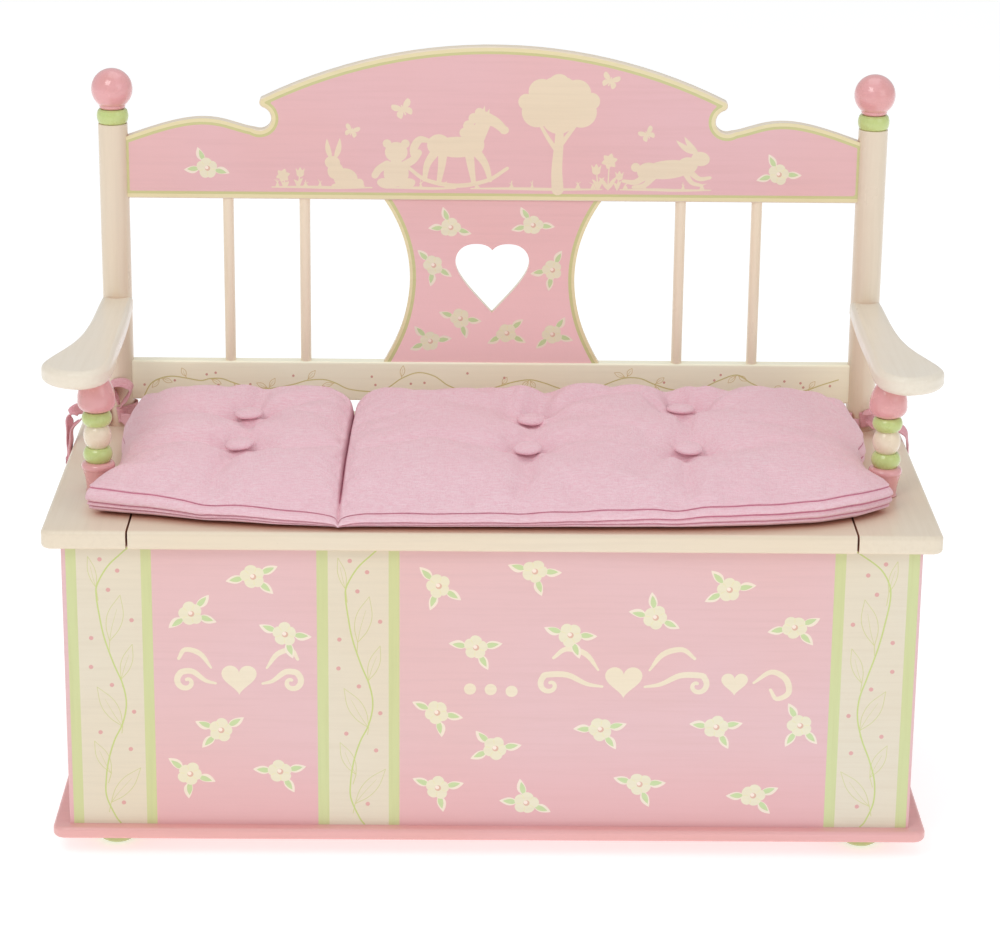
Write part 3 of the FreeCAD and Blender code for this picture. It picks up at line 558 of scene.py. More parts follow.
def flower(x, z, angles, s=1.0, seed=0):
    r = random.Random(seed)
    a = np.linspace(0, 2 * math.pi, 60, endpoint=False)
    ph = r.uniform(0, 1.2)
    lobes = np.abs(np.cos(2.5 * (a - ph))) ** 0.6
    wob = 1 + 0.045 * np.sin(a * 2 + r.uniform(0, 6)) + 0.03 * np.sin(a * 3 + r.uniform(0, 6))
    rad = 11.6 * s * (0.79 + 0.21 * lobes) * wob
    petal = np.stack([x + rad * np.cos(a), z + rad * np.sin(a)], 1)
    got = [("leaf_rim", [leaf_shape(x, z, g, 8.5 * s, 25.5 * s, 8.4 * s, r.uniform(-1.3, 1.3)) for g in angles])]
    got.append(("leaf", [leaf_shape(x, z, g, 9.0 * s, 22.0 * s, 5.2 * s, 0.0) for g in angles]))
    got.append(("petal", [petal]))
    inner = []
    for k in range(5):
        m = ph + (k + 0.5) * 2 * math.pi / 5
        c, q = math.cos(m), math.sin(m)
        inner += stroke([(x + 4.2 * s * c, z + 4.2 * s * q), (x + 8.6 * s * c, z + 8.6 * s * q)], 0.5, 1.0, caps=False)
    got.append(("petal_in", inner))
    got.append(("eye_ring", [ellipse(x + 0.5, z - 0.3, 2.9 * s, n=18)]))
    got.append(("eye", [ellipse(x - 0.3, z + 0.4, 1.9 * s, n=16)]))
    return got


def outline_leaf(base, tip, w, side=1, stem=None):
    """A leaf drawn as two thin lines and a rib."""
    b, t = np.array(base, float), np.array(tip, float)
    d = t - b
    ln = np.linalg.norm(d)
    d /= ln
    q = np.array([-d[1], d[0]])
    up = [b, b + d * ln * 0.3 + q * w * 0.42, b + d * ln * 0.62 + q * w * 0.46, t]
    dn = [b, b + d * ln * 0.3 - q * w * 0.42, b + d * ln * 0.62 - q * w * 0.46, t]
    out = stroke(up, 0.75, 0.6, caps=False) + stroke(dn, 0.75, 0.6, caps=False)
    out += stroke([b, b + d * ln * 0.3 + q * w * 0.05, b + d * ln * 0.7], 0.6, 0.3, caps=False)
    if stem is not None:
        out += stroke([stem, b], 0.8, 0.8, caps=False)
    return out


def winding(poly, pts):
    """Which points lie inside a polygon, by its winding number."""
    out = np.zeros(len(pts), bool)
    lo, hi = poly.min(0), poly.max(0)
    near = np.nonzero((pts[:, 0] > lo[0]) & (pts[:, 0] < hi[0]) & (pts[:, 1] > lo[1]) & (pts[:, 1] < hi[1]))[0]
    if not len(near):
        return out
    q = pts[near]
    n = np.zeros(len(q), int)
    nxt = np.roll(poly, -1, 0)
    for (x0, y0), (x1, y1) in zip(poly, nxt):
        side = (x1 - x0) * (q[:, 1] - y0) - (q[:, 0] - x0) * (y1 - y0)
        n += (y0 <= q[:, 1]) & (y1 > q[:, 1]) & (side > 0)
        n -= (y0 > q[:, 1]) & (y1 <= q[:, 1]) & (side < 0)
    out[near] = n != 0
    return out


def repaint(name, piece, y_front, base, side, layers, back=None, clip=None):
    """Replaces a board by a copy whose flat front face is divided along painted outlines, one material for each colour."""
    src = nodes[name]
    bm = bmesh.new()
    bm.from_mesh(src.data)
    bmesh.ops.remove_doubles(bm, verts=bm.verts, dist=2e-6)
    front = [f for f in bm.faces if f.normal.y < -0.9995 and abs(f.calc_center_median().y - y_front * MM) < 2e-5]
    chosen = set(front)
    edges = [e for e in bm.edges if sum(f in chosen for f in e.link_faces) == 1]
    nxt = {}
    for e in edges:
        for v in e.verts:
            nxt.setdefault(v, []).append(e)
    loops, used = [], set()
    for e in edges:
        if e in used:
            continue
        loop, v, cur = [], e.verts[0], e
        while cur not in used:
            used.add(cur)
            loop.append(v)
            v = cur.other_vert(v)
            more = [k for k in nxt[v] if k not in used]
            if not more:
                break
            cur = more[0]
        loops.append(loop)
    bmesh.ops.delete(bm, geom=front, context="FACES")
    loops = [[v for v in lp if v.is_valid] for lp in loops]

    def size(lp):
        p = np.array([(v.co.x, v.co.z) for v in lp])
        return abs((p[:, 0] * np.roll(p[:, 1], -1) - np.roll(p[:, 0], -1) * p[:, 1]).sum())

    loops.sort(key=size, reverse=True)
    mats = [base] + [side]
    verts, faces, owner = [], [], []
    rim = {}
    for k, lp in enumerate(loops):
        ids = []
        q = np.array([(v.co.x, v.co.z) for v in lp])
        if (q[:, 0] * np.roll(q[:, 1], -1) - np.roll(q[:, 0], -1) * q[:, 1]).sum() < 0:
            lp = lp[::-1]
        for v in lp:
            rim[len(verts)] = v
            ids.append(len(verts))
            verts.append(Vector((v.co.x * 1000, v.co.z * 1000)))
        faces.append(ids)
        owner.append("rim" if k == 0 else "hole")
    for mat, polys in layers:
        if mat not in mats:
            mats.append(mat)
        for p in polys:
            p = ccw(np.asarray(p, float))
            ids = list(range(len(verts), len(verts) + len(p)))
            verts += [Vector((q[0], q[1] + SEAT)) for q in p]
            faces.append(ids)
            owner.append(mat)
    level, at = {}, len(loops)
    for depth, (mat, polys) in enumerate(layers):
        for _ in polys:
            level[at] = (depth, mat)
            at += 1
    vo, _, fo, ov, _, _ = delaunay_2d_cdt(verts, [], faces, 0, 1e-4, True)
    flat = np.array([(v.x, v.y) for v in vo])
    tris = np.array([t for t in fo if len(t) == 3])
    mid = flat[tris].mean(1)
    all_v = np.array([(v.x, v.y) for v in verts])
    within = [winding(all_v[ids], mid) for ids in faces]
    ok = within[0].copy()
    top_level = np.full(len(tris), -1)
    for k, hit in enumerate(within):
        if owner[k] == "hole":
            ok &= ~hit
        elif owner[k] != "rim":
            top_level = np.where(hit, np.maximum(top_level, level[k][0]), top_level)
    made = {}

    def vert(i):
        if i not in made:
            own = [j for j in ov[i] if j in rim]
            if own:
                made[i] = rim[own[0]]
            else:
                made[i] = bm.verts.new((vo[i].x * MM, y_front * MM, vo[i].y * MM))
        return made[i]

    new = 0
    for tri, good, rank in zip(tris, ok, top_level):
        if not good:
            continue
        a, b, c = (vo[t] for t in tri)
        area2 = (b.x - a.x) * (c.y - a.y) - (b.y - a.y) * (c.x - a.x)
        if abs(area2) < 1e-7:
            continue
        t = [int(q) for q in (tri if area2 > 0 else tri[::-1])]
        top = base if rank < 0 else layers[rank][0]
        vs = [vert(k) for k in t]
        if len(set(vs)) < 3:
            continue
        try:
            f = bm.faces.new(vs)
        except ValueError:
            continue
        f.material_index = mats.index(top)
        f.tag = True
        new += 1
    for f in bm.faces:
        if not f.tag:
            f.material_index = 1
        f.smooth = True
    bm.normal_update()
    if back is not None:
        if back not in mats:
            mats.append(back)
        for f in bm.faces:
            if not f.tag and f.normal.y > 0.99:
                f.material_index = mats.index(back)
    for e in bm.edges:
        e.smooth = len(e.link_faces) == 2 and e.calc_face_angle(0) < math.radians(28)
    me = bpy.data.meshes.new(piece)
    bm.to_mesh(me)
    bm.free()
    for m in mats:
        me.materials.append(M[m])
    ob = bpy.data.objects.new(piece, me)
    scene.collection.objects.link(ob)
    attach(ob, "bench")
    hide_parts(name)
    return ob, new


def merged(list_of_layers):
    """Joins drawings made of (material, polygons) rows into one stack, later rows on top."""
    rows = []
    for group in list_of_layers:
        for mat, polys in group:
            rows.append((mat, list(polys)))
    return rows


def gather(groups, order):
    got = {k: [] for k in order}
    for g in groups:
        for mat, polys in g:
            got[mat] += list(polys)
    return [(k, got[k]) for k in order if got[k]]


# ---------------------------------------------------------------- front panel
LIFT = 0.3
Z0, Z1 = 30 - SEAT + LIFT, 310 - SEAT - LIFT


def rect(x0, x1, z0=Z0, z1=Z1):
    return np.array([(x0, z0), (x1, z0), (x1, z1), (x0, z1)])


stripes = [
    ("green_print", [rect(-394.6, -385), rect(-325.3, -315.6), rect(-162.9, -152.4), rect(-96.1, -86),
                     rect(317.5, 327.7), rect(385.7, 396)]),
    ("cream_print", [rect(-385, -325.3), rect(-152.4, -96.1), rect(327.7, 385.7)]),
]
LV = [(-336, -18.5), (-343, -25), (-356, -38), (-366, -56), (-367, -68), (-365, -85), (-361, -108), (-353, -134), (-345, -155),
      (-342, -175), (-346, -195), (-354, -212), (-360, -232), (-363, -252), (-363, -270), (-355, -290), (-350, -297.4)]
LD = [(-363, -31), (-347, -42), (-356, -61), (-335, -91), (-373, -109), (-374, -138), (-355, -156), (-335, -183),
      (-367, -204), (-339, -221), (-347, -276)]
LL = [((-367, -59), (-374, -28), 7, (-365.5, -72)), ((-356, -112), (-345, -66), 15, (-356.5, -122)),
      ((-346, -150), (-335, -115), 10, (-345, -158)), ((-346, -198), (-369, -158), 14, (-347, -205)),
      ((-358, -246), (-373, -213), 11, (-361, -256)), ((-359, -276), (-330, -240), 13, (-361, -286))]
RV = [(336, -18.5), (343, -23), (360, -36), (369, -52), (370, -68), (366, -92), (361, -115), (352, -145), (346, -165), (345, -185),
      (350, -207), (358, -228), (364, -250), (364, -272), (357, -291), (352, -297.4)]


def vine_block(line, dots, leaves, shift=0.0, flip=1.0):
    f = lambda p: (p[0] * flip + shift, p[1])
    thin = []
    for b, t, w, s in leaves:
        thin += outline_leaf(f(b), f(t), w, stem=f(s))
    return [("vine_thin", thin), ("vine", stroke([f(p) for p in line], 1.5, 1.5, caps=False)),
            ("dot", [ellipse(*f(d), 2.1, n=14) for d in dots])]


blocks = [vine_block(LV, LD, LL), vine_block(LV, LD, LL, 231.0), vine_block(RV, LD, LL, 1.5, -1.0)]
blocks[2][1] = ("vine", stroke(RV, 1.5, 1.5, caps=False))

FRONT = [(-222, -47, (191, 24, -42)), (-280, -84, (48, 216, -19)), (-193, -104, (158, -5, -72)),
         (-254, -201, (159, 31, 226)), (-284, -246, (142, -19, -92)), (-199, -243, (175, 12, -58)),
         (-50, -55, (134, -34, -108)), (-15, -116, (172, 9, -62)), (-51, -182, (155, -12, -80)),
         (4, -218, (135, 8, 205)), (-50, -259, (158, 12, -78)), (39, -40, (165, -2, -73)),
         (152, -85, (168, 98, -25)), (73, -103, (162, -2, -69)), (220, -57, (133, 9, 208)),
         (282, -94, (191, 22, -45)), (103, -198, (180, 14, -54)), (212, -195, (174, 10, -61)),
         (291, -193, (118, -48, 239)), (141, -254, (165, 4, -67)), (249, -265, (181, 19, -47)),
         (34, -274, (103, 175, -22))]
flowers = [flower(x, z, a, 1.0, 11 + i) for i, (x, z, a) in enumerate(FRONT)]


def curl(cx, cz, r0, r1, a0, turns, n=16):
    a = np.radians(a0) + np.linspace(0, turns * 2 * math.pi, n)
    r = np.linspace(r0, r1, n)
    return list(map(tuple, np.stack([cx + r * np.cos(a), cz + r * np.sin(a)], 1)))


def scroll(x0, x1, z, flip=1.0, h=11.0, w=6.0):
    """A flourish from a curled end at x0 to a tapered end at x1."""
    s = 1 if x1 > x0 else -1
    c = curl(x0 + s * 11, z, 2.0, 10.5, 90 if s > 0 else 90, -0.95 * s * flip, 14)
    end = c[-1]
    pts = c + [(x0 + s * (abs(x1 - x0) * 0.45), z + flip * h * 0.9), (x0 + s * abs(x1 - x0) * 0.75, z + flip * h * 0.1), (x1, z - flip * h * 0.15)]
    return bands(pts, 3.4, 2.4, w, 5)


flourish = []
flourish += [heart(-236, -148, 33)]
flourish += scroll(-296, -258, -152, 1.0) + scroll(-176, -214, -152, 1.0)
flourish += bands([(-262, -138), (-272, -124), (-286, -120), (-292, -129)], 2.0, 3.0, 5.2, 5)
flourish += bands([(-210, -138), (-200, -124), (-187, -120), (-181, -129)], 2.0, 3.0, 5.2, 5)
flourish += [ellipse(-19.9, -157.9, 5.7), ellipse(-0.5, -158.3, 5.7), ellipse(19.1, -160.0, 5.7)]
flourish += scroll(44, 104, -153, 1.0) + [heart(124, -148, 35)] + scroll(204, 144, -153, 1.0)
flourish += bands([(100, -138), (88, -122), (70, -117), (58, -126)], 2.0, 3.0, 5.6, 5)
flourish += bands([(148, -138), (160, -122), (178, -117), (190, -126)], 2.0, 3.0, 5.6, 5)
flourish += [heart(228, -150, 25)]
flourish += bands([(246, -150), (262, -139), (276, -146), (279, -160), (268, -166), (262, -157)], 2.4, 3.0, 6.0, 5)
order = ["green_print", "cream_print", "vine_thin", "vine", "dot", "flourish", "leaf_rim", "leaf", "petal", "petal_in",
         "eye_ring", "eye"]
M["flourish"] = painted("flourish_print", (236, 225, 202), "x", 0.42, 0.12, 0.01)
front_layers = gather([stripes] + blocks + flowers + [[("flourish", flourish)]], order)
front_piece, n_front = repaint("front_panel", "front_panel_painted", -178.5, "pink", "pink", front_layers)


# ---------------------------------------------------------------- top rail
def loop_of(name, y_front):
    """The outline of a board's flat front face, in mm with z from the seat, largest loop first."""
    bm = bmesh.new()
    bm.from_mesh(nodes[name].data)
    bmesh.ops.remove_doubles(bm, verts=bm.verts, dist=2e-6)
    sel = {f for f in bm.faces if f.normal.y < -0.9995 and abs(f.calc_center_median().y - y_front * MM) < 2e-5}
    edges = [e for e in bm.edges if sum(f in sel for f in e.link_faces) == 1]
    link = {}
    for e in edges:
        for v in e.verts:
            link.setdefault(v, []).append(e)
    loops, used = [], set()
    for e in edges:
        if e in used:
            continue
        lp, v, cur = [], e.verts[0], e
        while cur not in used:
            used.add(cur)
            lp.append((v.co.x * 1000, v.co.z * 1000 - SEAT))
            v = cur.other_vert(v)
            more = [k for k in link[v] if k not in used]
            if not more:
                break
            cur = more[0]
        loops.append(ccw(np.array(lp)))
    bm.free()
    return sorted(loops, key=lambda p: -abs((p[:, 0] * np.roll(p[:, 1], -1) - np.roll(p[:, 0], -1) * p[:, 1]).sum()))


def seg_dist(p, poly):
    a, b = poly, np.roll(poly, -1, 0)
    d = b - a
    t = np.clip(((p - a) * d).sum(1) / np.maximum((d * d).sum(1), 1e-12), 0, 1)
    return np.linalg.norm(p - a - d * t[:, None], axis=1).min()


def resample(poly, step):
    c = np.vstack([poly, poly[:1]])
    s = np.concatenate([[0], np.cumsum(np.linalg.norm(np.diff(c, axis=0), axis=1))])
    n = max(8, int(s[-1] / step))
    q = np.linspace(0, s[-1], n, endpoint=False)
    return np.stack([np.interp(q, s, c[:, 0]), np.interp(q, s, c[:, 1])], 1)


def inset(poly, d, step=2.0):
    """The outline moved in by d, with the points that would fold over left out."""
    p = resample(poly, step)
    t = np.roll(p, -1, 0) - np.roll(p, 1, 0)
    t /= np.maximum(np.linalg.norm(t, axis=1), 1e-9)[:, None]
    q = p + np.stack([-t[:, 1], t[:, 0]], 1) * d
    return np.array([k for k in q if seg_dist(k, p) > d * 0.985])


rail_out = loop_of("top_rail", 138.0)[0]
hid = rail_out.copy()


def animal_bits():
    out = []
    g = 247.0
    for a, b in ((-219, -120), (-104, -37), (-22, 108), (126, 216)):
        out += stroke([(a, g + 0.2), ((a * 2 + b) / 3, g + 0.5), ((a + b * 2) / 3, g), (b, g + 0.4)], 1.2, 1.2, 3.0)
    r = random.Random(5)
    for x, n in ((-212, 3), (-184, 4), (-170, 3), (-128, 4), (-97, 4), (-70, 3), (-44, 4), (-14, 4), (20, 4), (40, 3),
                 (86, 4), (101, 4), (133, 4), (152, 3), (190, 3), (209, 4)):
        for k in range(n):
            a = math.radians(90 + (k - (n - 1) / 2) * 24 + r.uniform(-6, 6))
            h = r.uniform(5, 9.5)
            out += stroke([(x + k * 1.5 - n, g), (x + k * 1.5 - n + 0.4 * h * math.cos(a), g + h * 0.55),
                           (x + k * 1.5 - n + h * math.cos(a) * 1.1, g + h * math.sin(a))], 1.7, 0.4, smooth=3, caps=False)

    def tulip(x, h, s=1.0, lean=0.0):
        got = stroke([(x, g), (x + lean * 0.4, g + h * 0.5), (x + lean, g + h)], 1.5, 1.2)
        c = (x + lean, g + h)
        cup = [(-4.2, 0.5), (-3.6, -3.2), (0, -5.0), (3.6, -3.2), (4.2, 0.5), (4.8, 5.2), (2.4, 2.6), (0, 6.2), (-2.4, 2.6), (-4.8, 5.2)]
        got.append(catmull([(c[0] + s * a, c[1] + s * b) for a, b in cup], 3, True))
        got.append(leaf_shape(x, g, 62, 0, h * 0.72, 4.2 * s, 1.5))
        got.append(leaf_shape(x, g, 122, 0, h * 0.62, 4.0 * s, -1.5))
        return got

    def daisy(x, h, s=1.0, lean=0.0):
        got = stroke([(x, g), (x + lean * 0.3, g + h * 0.5), (x + lean, g + h)], 1.5, 1.2)
        for k in range(6):
            a = k * 60 + 15
            got.append(leaf_shape(x + lean, g + h, a, 0.5, 7.2 * s, 5.0 * s))
        got.append(ellipse(x + lean, g + h, 3.0 * s, n=14))
        got.append(leaf_shape(x, g, 55, 0, h * 0.6, 4.0, 1.0))
        got.append(leaf_shape(x, g, 128, 0, h * 0.55, 4.0, -1.0))
        return got

    def butterfly(x, z, s, rot):
        c, q = math.cos(math.radians(rot)), math.sin(math.radians(rot))
        tr = lambda a, b: (x + s * (a * c - b * q), z + s * (a * q + b * c))
        got = []
        for sg in (-1, 1):
            up = [(0.4, 0.6), (2.6, 5.4), (7.4, 8.2), (9.2, 5.2), (6.6, 1.4)]
            dn = [(0.4, 0.2), (5.6, 0.2), (7.4, -3.2), (5.0, -6.8), (2.0, -4.2)]
            for w in (up, dn):
                got.append(catmull([tr(sg * a, b) for a, b in w], 4, True))
        got += stroke([tr(0, -4.6), tr(0, 4.2)], 1.5 * s, 1.2 * s, smooth=0)
        return got

    out += daisy(-206, 12, 1.0, -2) + tulip(-193, 15, 0.9, 2)
    # sitting rabbit
    out += [ellipse(-146, 256.5, 12, 10.2, -12), ellipse(-156, 264, 8, 8.5), ellipse(-159, 272.5, 7.6, 6.6, -8),
            ellipse(-132.5, 252, 4.4), ellipse(-152, 249, 8, 2.8), ellipse(-141, 249, 9, 3.0)]
    out += [leaf_shape(-157, 274, 78, 2, 24, 5.6, -1.5), leaf_shape(-160, 274, 100, 2, 23, 5.4, 1.2)]
    # toy bear, sitting
    out += [ellipse(-96, 262, 12.4, 13.5), ellipse(-96, 283.5, 11.2, 10.2), ellipse(-105, 292, 4.3), ellipse(-87, 292, 4.3),
            ellipse(-106.5, 251.8, 8.6, 5.2, -12), ellipse(-85.5, 251.8, 8.6, 5.2, 12)]
    out += stroke([(-105, 271), (-113, 266), (-117, 260)], 8, 7) + stroke([(-87, 271), (-79, 276), (-74, 283)], 8, 7)
    # rocking horse
    X = -18
    h = lambda a, b: (a + X, b)
    out += [ellipse(X - 18, 289, 23, 10.5), ellipse(X - 2, 291.5, 11, 11), ellipse(X - 36, 291, 11.5, 10.8)]
    out += stroke([h(-3, 293), h(4, 305), h(11, 317)], 20, 11.5)
    out += stroke([h(9, 319), h(20, 314), h(28, 307)], 12.5, 8)
    out += [ellipse(X + 28.5, 306.5, 4.6, 4.2)]
    out += [np.array([h(5, 322), h(10, 322), h(9, 331)]), np.array([h(9, 321), h(13.5, 320), h(14, 328)])]
    for a, b, rr in ((4, 324, 4.6), (-1.5, 318, 5.4), (-6.5, 310.5, 5.6), (-10.5, 303.5, 5.2)):
        out.append(ellipse(X + a, b, rr, n=18))
    for a, b, c in (((0, 286), (10, 272), (15, 256)), ((-6, 284), (-4, 270), (-1, 252)), ((-38, 286), (-47, 272), (-50, 256)),
                    ((-32, 284), (-33, 270), (-36, 252))):
        out += stroke([h(*a), h(*b), h(*c)], 9.5, 4.4)
    out += stroke([h(-45, 295), h(-55, 296), h(-61, 286), h(-60, 274)], 4.0, 2.0, 8.0)
    out += stroke([h(-66, 268), h(-48, 255.5), h(-18, 250), h(12, 255.5), h(32, 268)], 3.4, 3.4, 4.4)
    # round tree
    out += stroke([(64, 247), (63, 268), (65, 300), (64, 322)], 12, 7)
    out += stroke([(64, 284), (53, 300), (44, 316)], 5, 3) + stroke([(65, 290), (75, 304), (84, 316)], 5, 3)
    for a, b, rr in ((64, 338, 23), (43, 325, 15.5), (86, 325, 15.5), (47, 345, 13), (82, 344, 13.5), (64, 320, 17),
                     (64, 352, 11), (32, 335, 8), (96, 336, 8.5)):
        out.append(ellipse(a, b, rr, n=34))
    out += tulip(104, 20, 1.0, -2) + daisy(114, 29, 1.15, 1) + tulip(123, 14, 0.85, 2)
    # running hare
    out += [ellipse(173, 268, 25, 9.5, 6), ellipse(154, 265.5, 11.5, 9.5), ellipse(192, 272, 10.5, 8.6, 10), ellipse(205, 279, 9.2, 7.2, -8),
            ellipse(141, 270, 4.6)]
    out += [leaf_shape(203, 283, 146, 2, 27, 6.0, 1.8), leaf_shape(204, 282, 128, 2, 25, 5.6, 1.2)]
    out += stroke([(152, 262), (141, 255), (129, 256)], 8, 3.4) + stroke([(158, 260), (150, 252), (139, 250)], 7, 3.2)
    out += stroke([(194, 267), (204, 259), (215, 260)], 6.5, 3.2) + stroke([(190, 265), (197, 255), (207, 252)], 6, 3.0)
    out += butterfly(-89, 326, 1.1, 24) + butterfly(114, 356, 0.95, -20) + butterfly(152, 303, 0.85, 30) + butterfly(-140, 304, 0.8, -18)
    return out


M["frieze"] = painted("frieze_print", (234, 219, 194), "x", 0.42, 0.12, 0.012)
rail_layers = [("green_line", [inset(rail_out, 3.4)]), ("pink_rail", [inset(rail_out, 6.2)]), ("frieze", animal_bits())]
rf = gather([flower(-283, 266, (112, 184, -14), 0.9, 71), flower(283, 264, (118, 196, -2), 0.9, 72)],
            ["leaf_rim", "leaf", "petal", "petal_in", "eye_ring", "eye"])
rail_piece, n_rail = repaint("top_rail", "top_rail_painted", 138.0, "cream_edge", "cream_x", rail_layers + rf, back="pink_rail")

# ---------------------------------------------------------------- splat
sp = loop_of("back_splat", 140.0)
so = sp[0]
zlo, zhi = so[:, 1].min(), so[:, 1].max()


def splat_band(d):
    """The part of the splat's face more than d inside its two hollow sides."""
    p = resample(so, 2.0)
    left = sorted([k for k in p if k[0] < 0 and zlo + 4 < k[1] < zhi - 4], key=lambda k: k[1])
    right = sorted([k for k in p if k[0] > 0 and zlo + 4 < k[1] < zhi - 4], key=lambda k: k[1])

    def side(rows, s):
        rows = np.array([k for k in rows if abs(k[0]) > 60])
        zz, first = np.unique(np.round(rows[:, 1], 3), return_index=True)
        rows = rows[first]
        t = np.gradient(rows, axis=0)
        t /= np.linalg.norm(t, axis=1)[:, None]
        n = np.stack([-t[:, 1], t[:, 0]], 1)
        n *= np.where(n[:, :1] * s > 0, -1, 1)
        q = rows + n * d
        q = q[np.argsort(q[:, 1])]
        q = np.vstack([[q[0][0] + (q[0][0] - q[3][0]) / (q[0][1] - q[3][1]) * (zlo + LIFT - q[0][1]), zlo + LIFT], q,
                       [q[-1][0] + (q[-1][0] - q[-4][0]) / (q[-1][1] - q[-4][1]) * (zhi - LIFT - q[-1][1]), zhi - LIFT]])
        keep = (q[:, 1] >= zlo + LIFT - 1e-6) & (q[:, 1] <= zhi - LIFT + 1e-6)
        return q[keep]

    lft, rgt = side(left, -1), side(right, 1)
    return np.vstack([lft, rgt[::-1]])


SPLAT = [(-42, 207, (110, 184, -16)), (40, 210, (123, 194, -5)), (-59, 168, (136, -33, -98)), (60, 164, (64, 190, -98)),
         (-32, 113, (162, -7, -74)), (-62, 89, (134, 7, 203)), (15, 98, (40, 209, -27)), (61, 97, (56, 222, -16))]
splat_layers = [("green_line", [splat_band(3.0)]), ("pink_splat", [splat_band(6.2)])]
splat_layers += gather([flower(x, z, a, 0.87, 31 + i) for i, (x, z, a) in enumerate(SPLAT)],
                       ["leaf_rim", "leaf", "petal", "petal_in", "eye_ring", "eye"])
splat_piece, n_splat = repaint("back_splat", "back_splat_painted", 140.0, "cream_edge", "cream_x", splat_layers, back="pink_splat")

# ---------------------------------------------------------------- bottom rail
VA = [(-353, 24), (-349.8, 32), (-343.5, 43.0), (-333.8, 48.6), (-321.9, 50.7), (-307.6, 48.8), (-293.4, 46.4), (-283.8, 48.5), (-271.9, 48.5),
      (-260.1, 44.2), (-245, 40), (-225, 38.5), (-200.5, 42.9), (-186.2, 47.2), (-169.5, 48.3), (-157.6, 44.9), (-143.3, 38.3), (-119.4, 36.0),
      (-105.1, 39.8), (-90.8, 49.9), (-74.1, 56.3), (-57.4, 52.7), (-43.1, 42.8), (-25, 37), (-8, 38), (10.3, 43.2), (22.2, 47.0),
      (38.8, 49.6), (53.2, 46.5), (72, 40), (90, 38), (108, 42), (124.8, 49.0), (136.7, 52.4), (151.0, 51.7), (165.5, 45.6), (185, 40),
      (210, 41), (230, 50), (248.8, 56.2), (263.4, 47.6), (285, 39), (305, 38), (321.1, 41.0), (332.9, 45.6), (351.8, 52.0)]
BD = [(-350.2, 41.7), (-319.6, 46.4), (-287.3, 52.9), (-278.2, 54.7), (-275.6, 41.8), (-243.4, 42.8), (-199.9, 52.1), (-169.0, 40.6),
      (-120.6, 51.7), (-117.0, 43.0), (-81.2, 44.5), (-67.4, 45.6), (-24.0, 55.9), (13.3, 51.4), (40.1, 40.9), (175.0, 47.7),
      (225.8, 50.3), (232.1, 56.1), (296.8, 49.8), (313.2, 48.0), (316.2, 43.5), (343.2, 45.2)]
thin = []
va = np.array(VA, float)
rb = random.Random(3)
for i in range(3, len(VA) - 2, 2):
    p = va[i]
    d = va[i + 1] - va[i - 1]
    base = math.degrees(math.atan2(d[1], d[0]))
    for sg in (-1, 1):
        if rb.random() < 0.72:
            a = math.radians(base + 180 + sg * rb.uniform(28, 58)) if rb.random() < 0.5 else math.radians(base + sg * rb.uniform(28, 58))
            ln = rb.uniform(10, 14)
            b = p + 2.0 * np.array([math.cos(a), math.sin(a)])
            t = p + ln * np.array([math.cos(a), math.sin(a)])
            if 29 < t[1] < 64 and abs(t[0]) < 356:
                thin += outline_leaf(b, t, 4.6, stem=p)
M["vine_rail"] = painted("vine_rail_print", (213, 206, 142), "x", 0.42, 0.12, 0.02)
M["vine_rail_thin"] = painted("vine_rail_thin_print", (224, 208, 158), "x", 0.42, 0.12, 0.02)
M["dot_rail"] = painted("dot_rail_print", (218, 170, 156), "x", 0.42, 0.12, 0.02)
bottom_layers = [("vine_rail_thin", thin), ("vine_rail", stroke(VA, 1.2, 1.2, caps=False)),
                 ("dot_rail", [ellipse(x, z, 1.35, n=10) for x, z in BD])]
# the whole rail, front, sides and back, takes the lightened cream: painted light
bottom_piece, n_bottom = repaint("bottom_rail", "bottom_rail_painted", 138.0, "cream_rail_painted_light", "cream_rail_painted_light", bottom_layers)


# ---------------------------------------------------------------- cushion
def lerp(table, v):
    t = np.array(table, float)
    return np.interp(v, t[:, 0], t[:, 1])


def smooth(t):
    t = np.clip(t, 0, 1)
    return t * t * (3 - 2 * t)


Y_FRONT = [(-374, -147), (-345, -154), (-319, -159), (-269, -172), (-200, -183), (-139, -186), (-60, -186), (6, -185), (100, -185),
           (190, -183), (250, -178), (302, -169), (340, -152), (371, -126)]
Z_SEAM = [(-374, 29), (-345, 27), (-319, 25.5), (-269, 21.5), (-235, 22), (-200, 20), (-160, 17), (-139, 14), (-118, 17), (-60, 18), (6, 18),
          (60, 20), (100, 22), (160, 23), (190, 24.5), (250, 26.5), (302, 28), (340, 28.5), (371, 28)]
X_LEFT = [(-147, -374), (-128, -370), (-108, -362), (-90, -355.5), (-66, -353.4), (-24, -353.6), (-4, -358), (20, -359), (60, -356), (92, -344)]
X_RIGHT = [(-126, 371.5), (-112, 369), (-98, 361), (-84, 355.5), (-66, 353.4), (-24, 353.6), (-4, 361), (14, 363.5), (50, 361), (92, 349)]
BUTTONS = [(-237.5, 17), (-241, -64), (39, 22), (33.5, -66), (187, 45), (187, -67)]
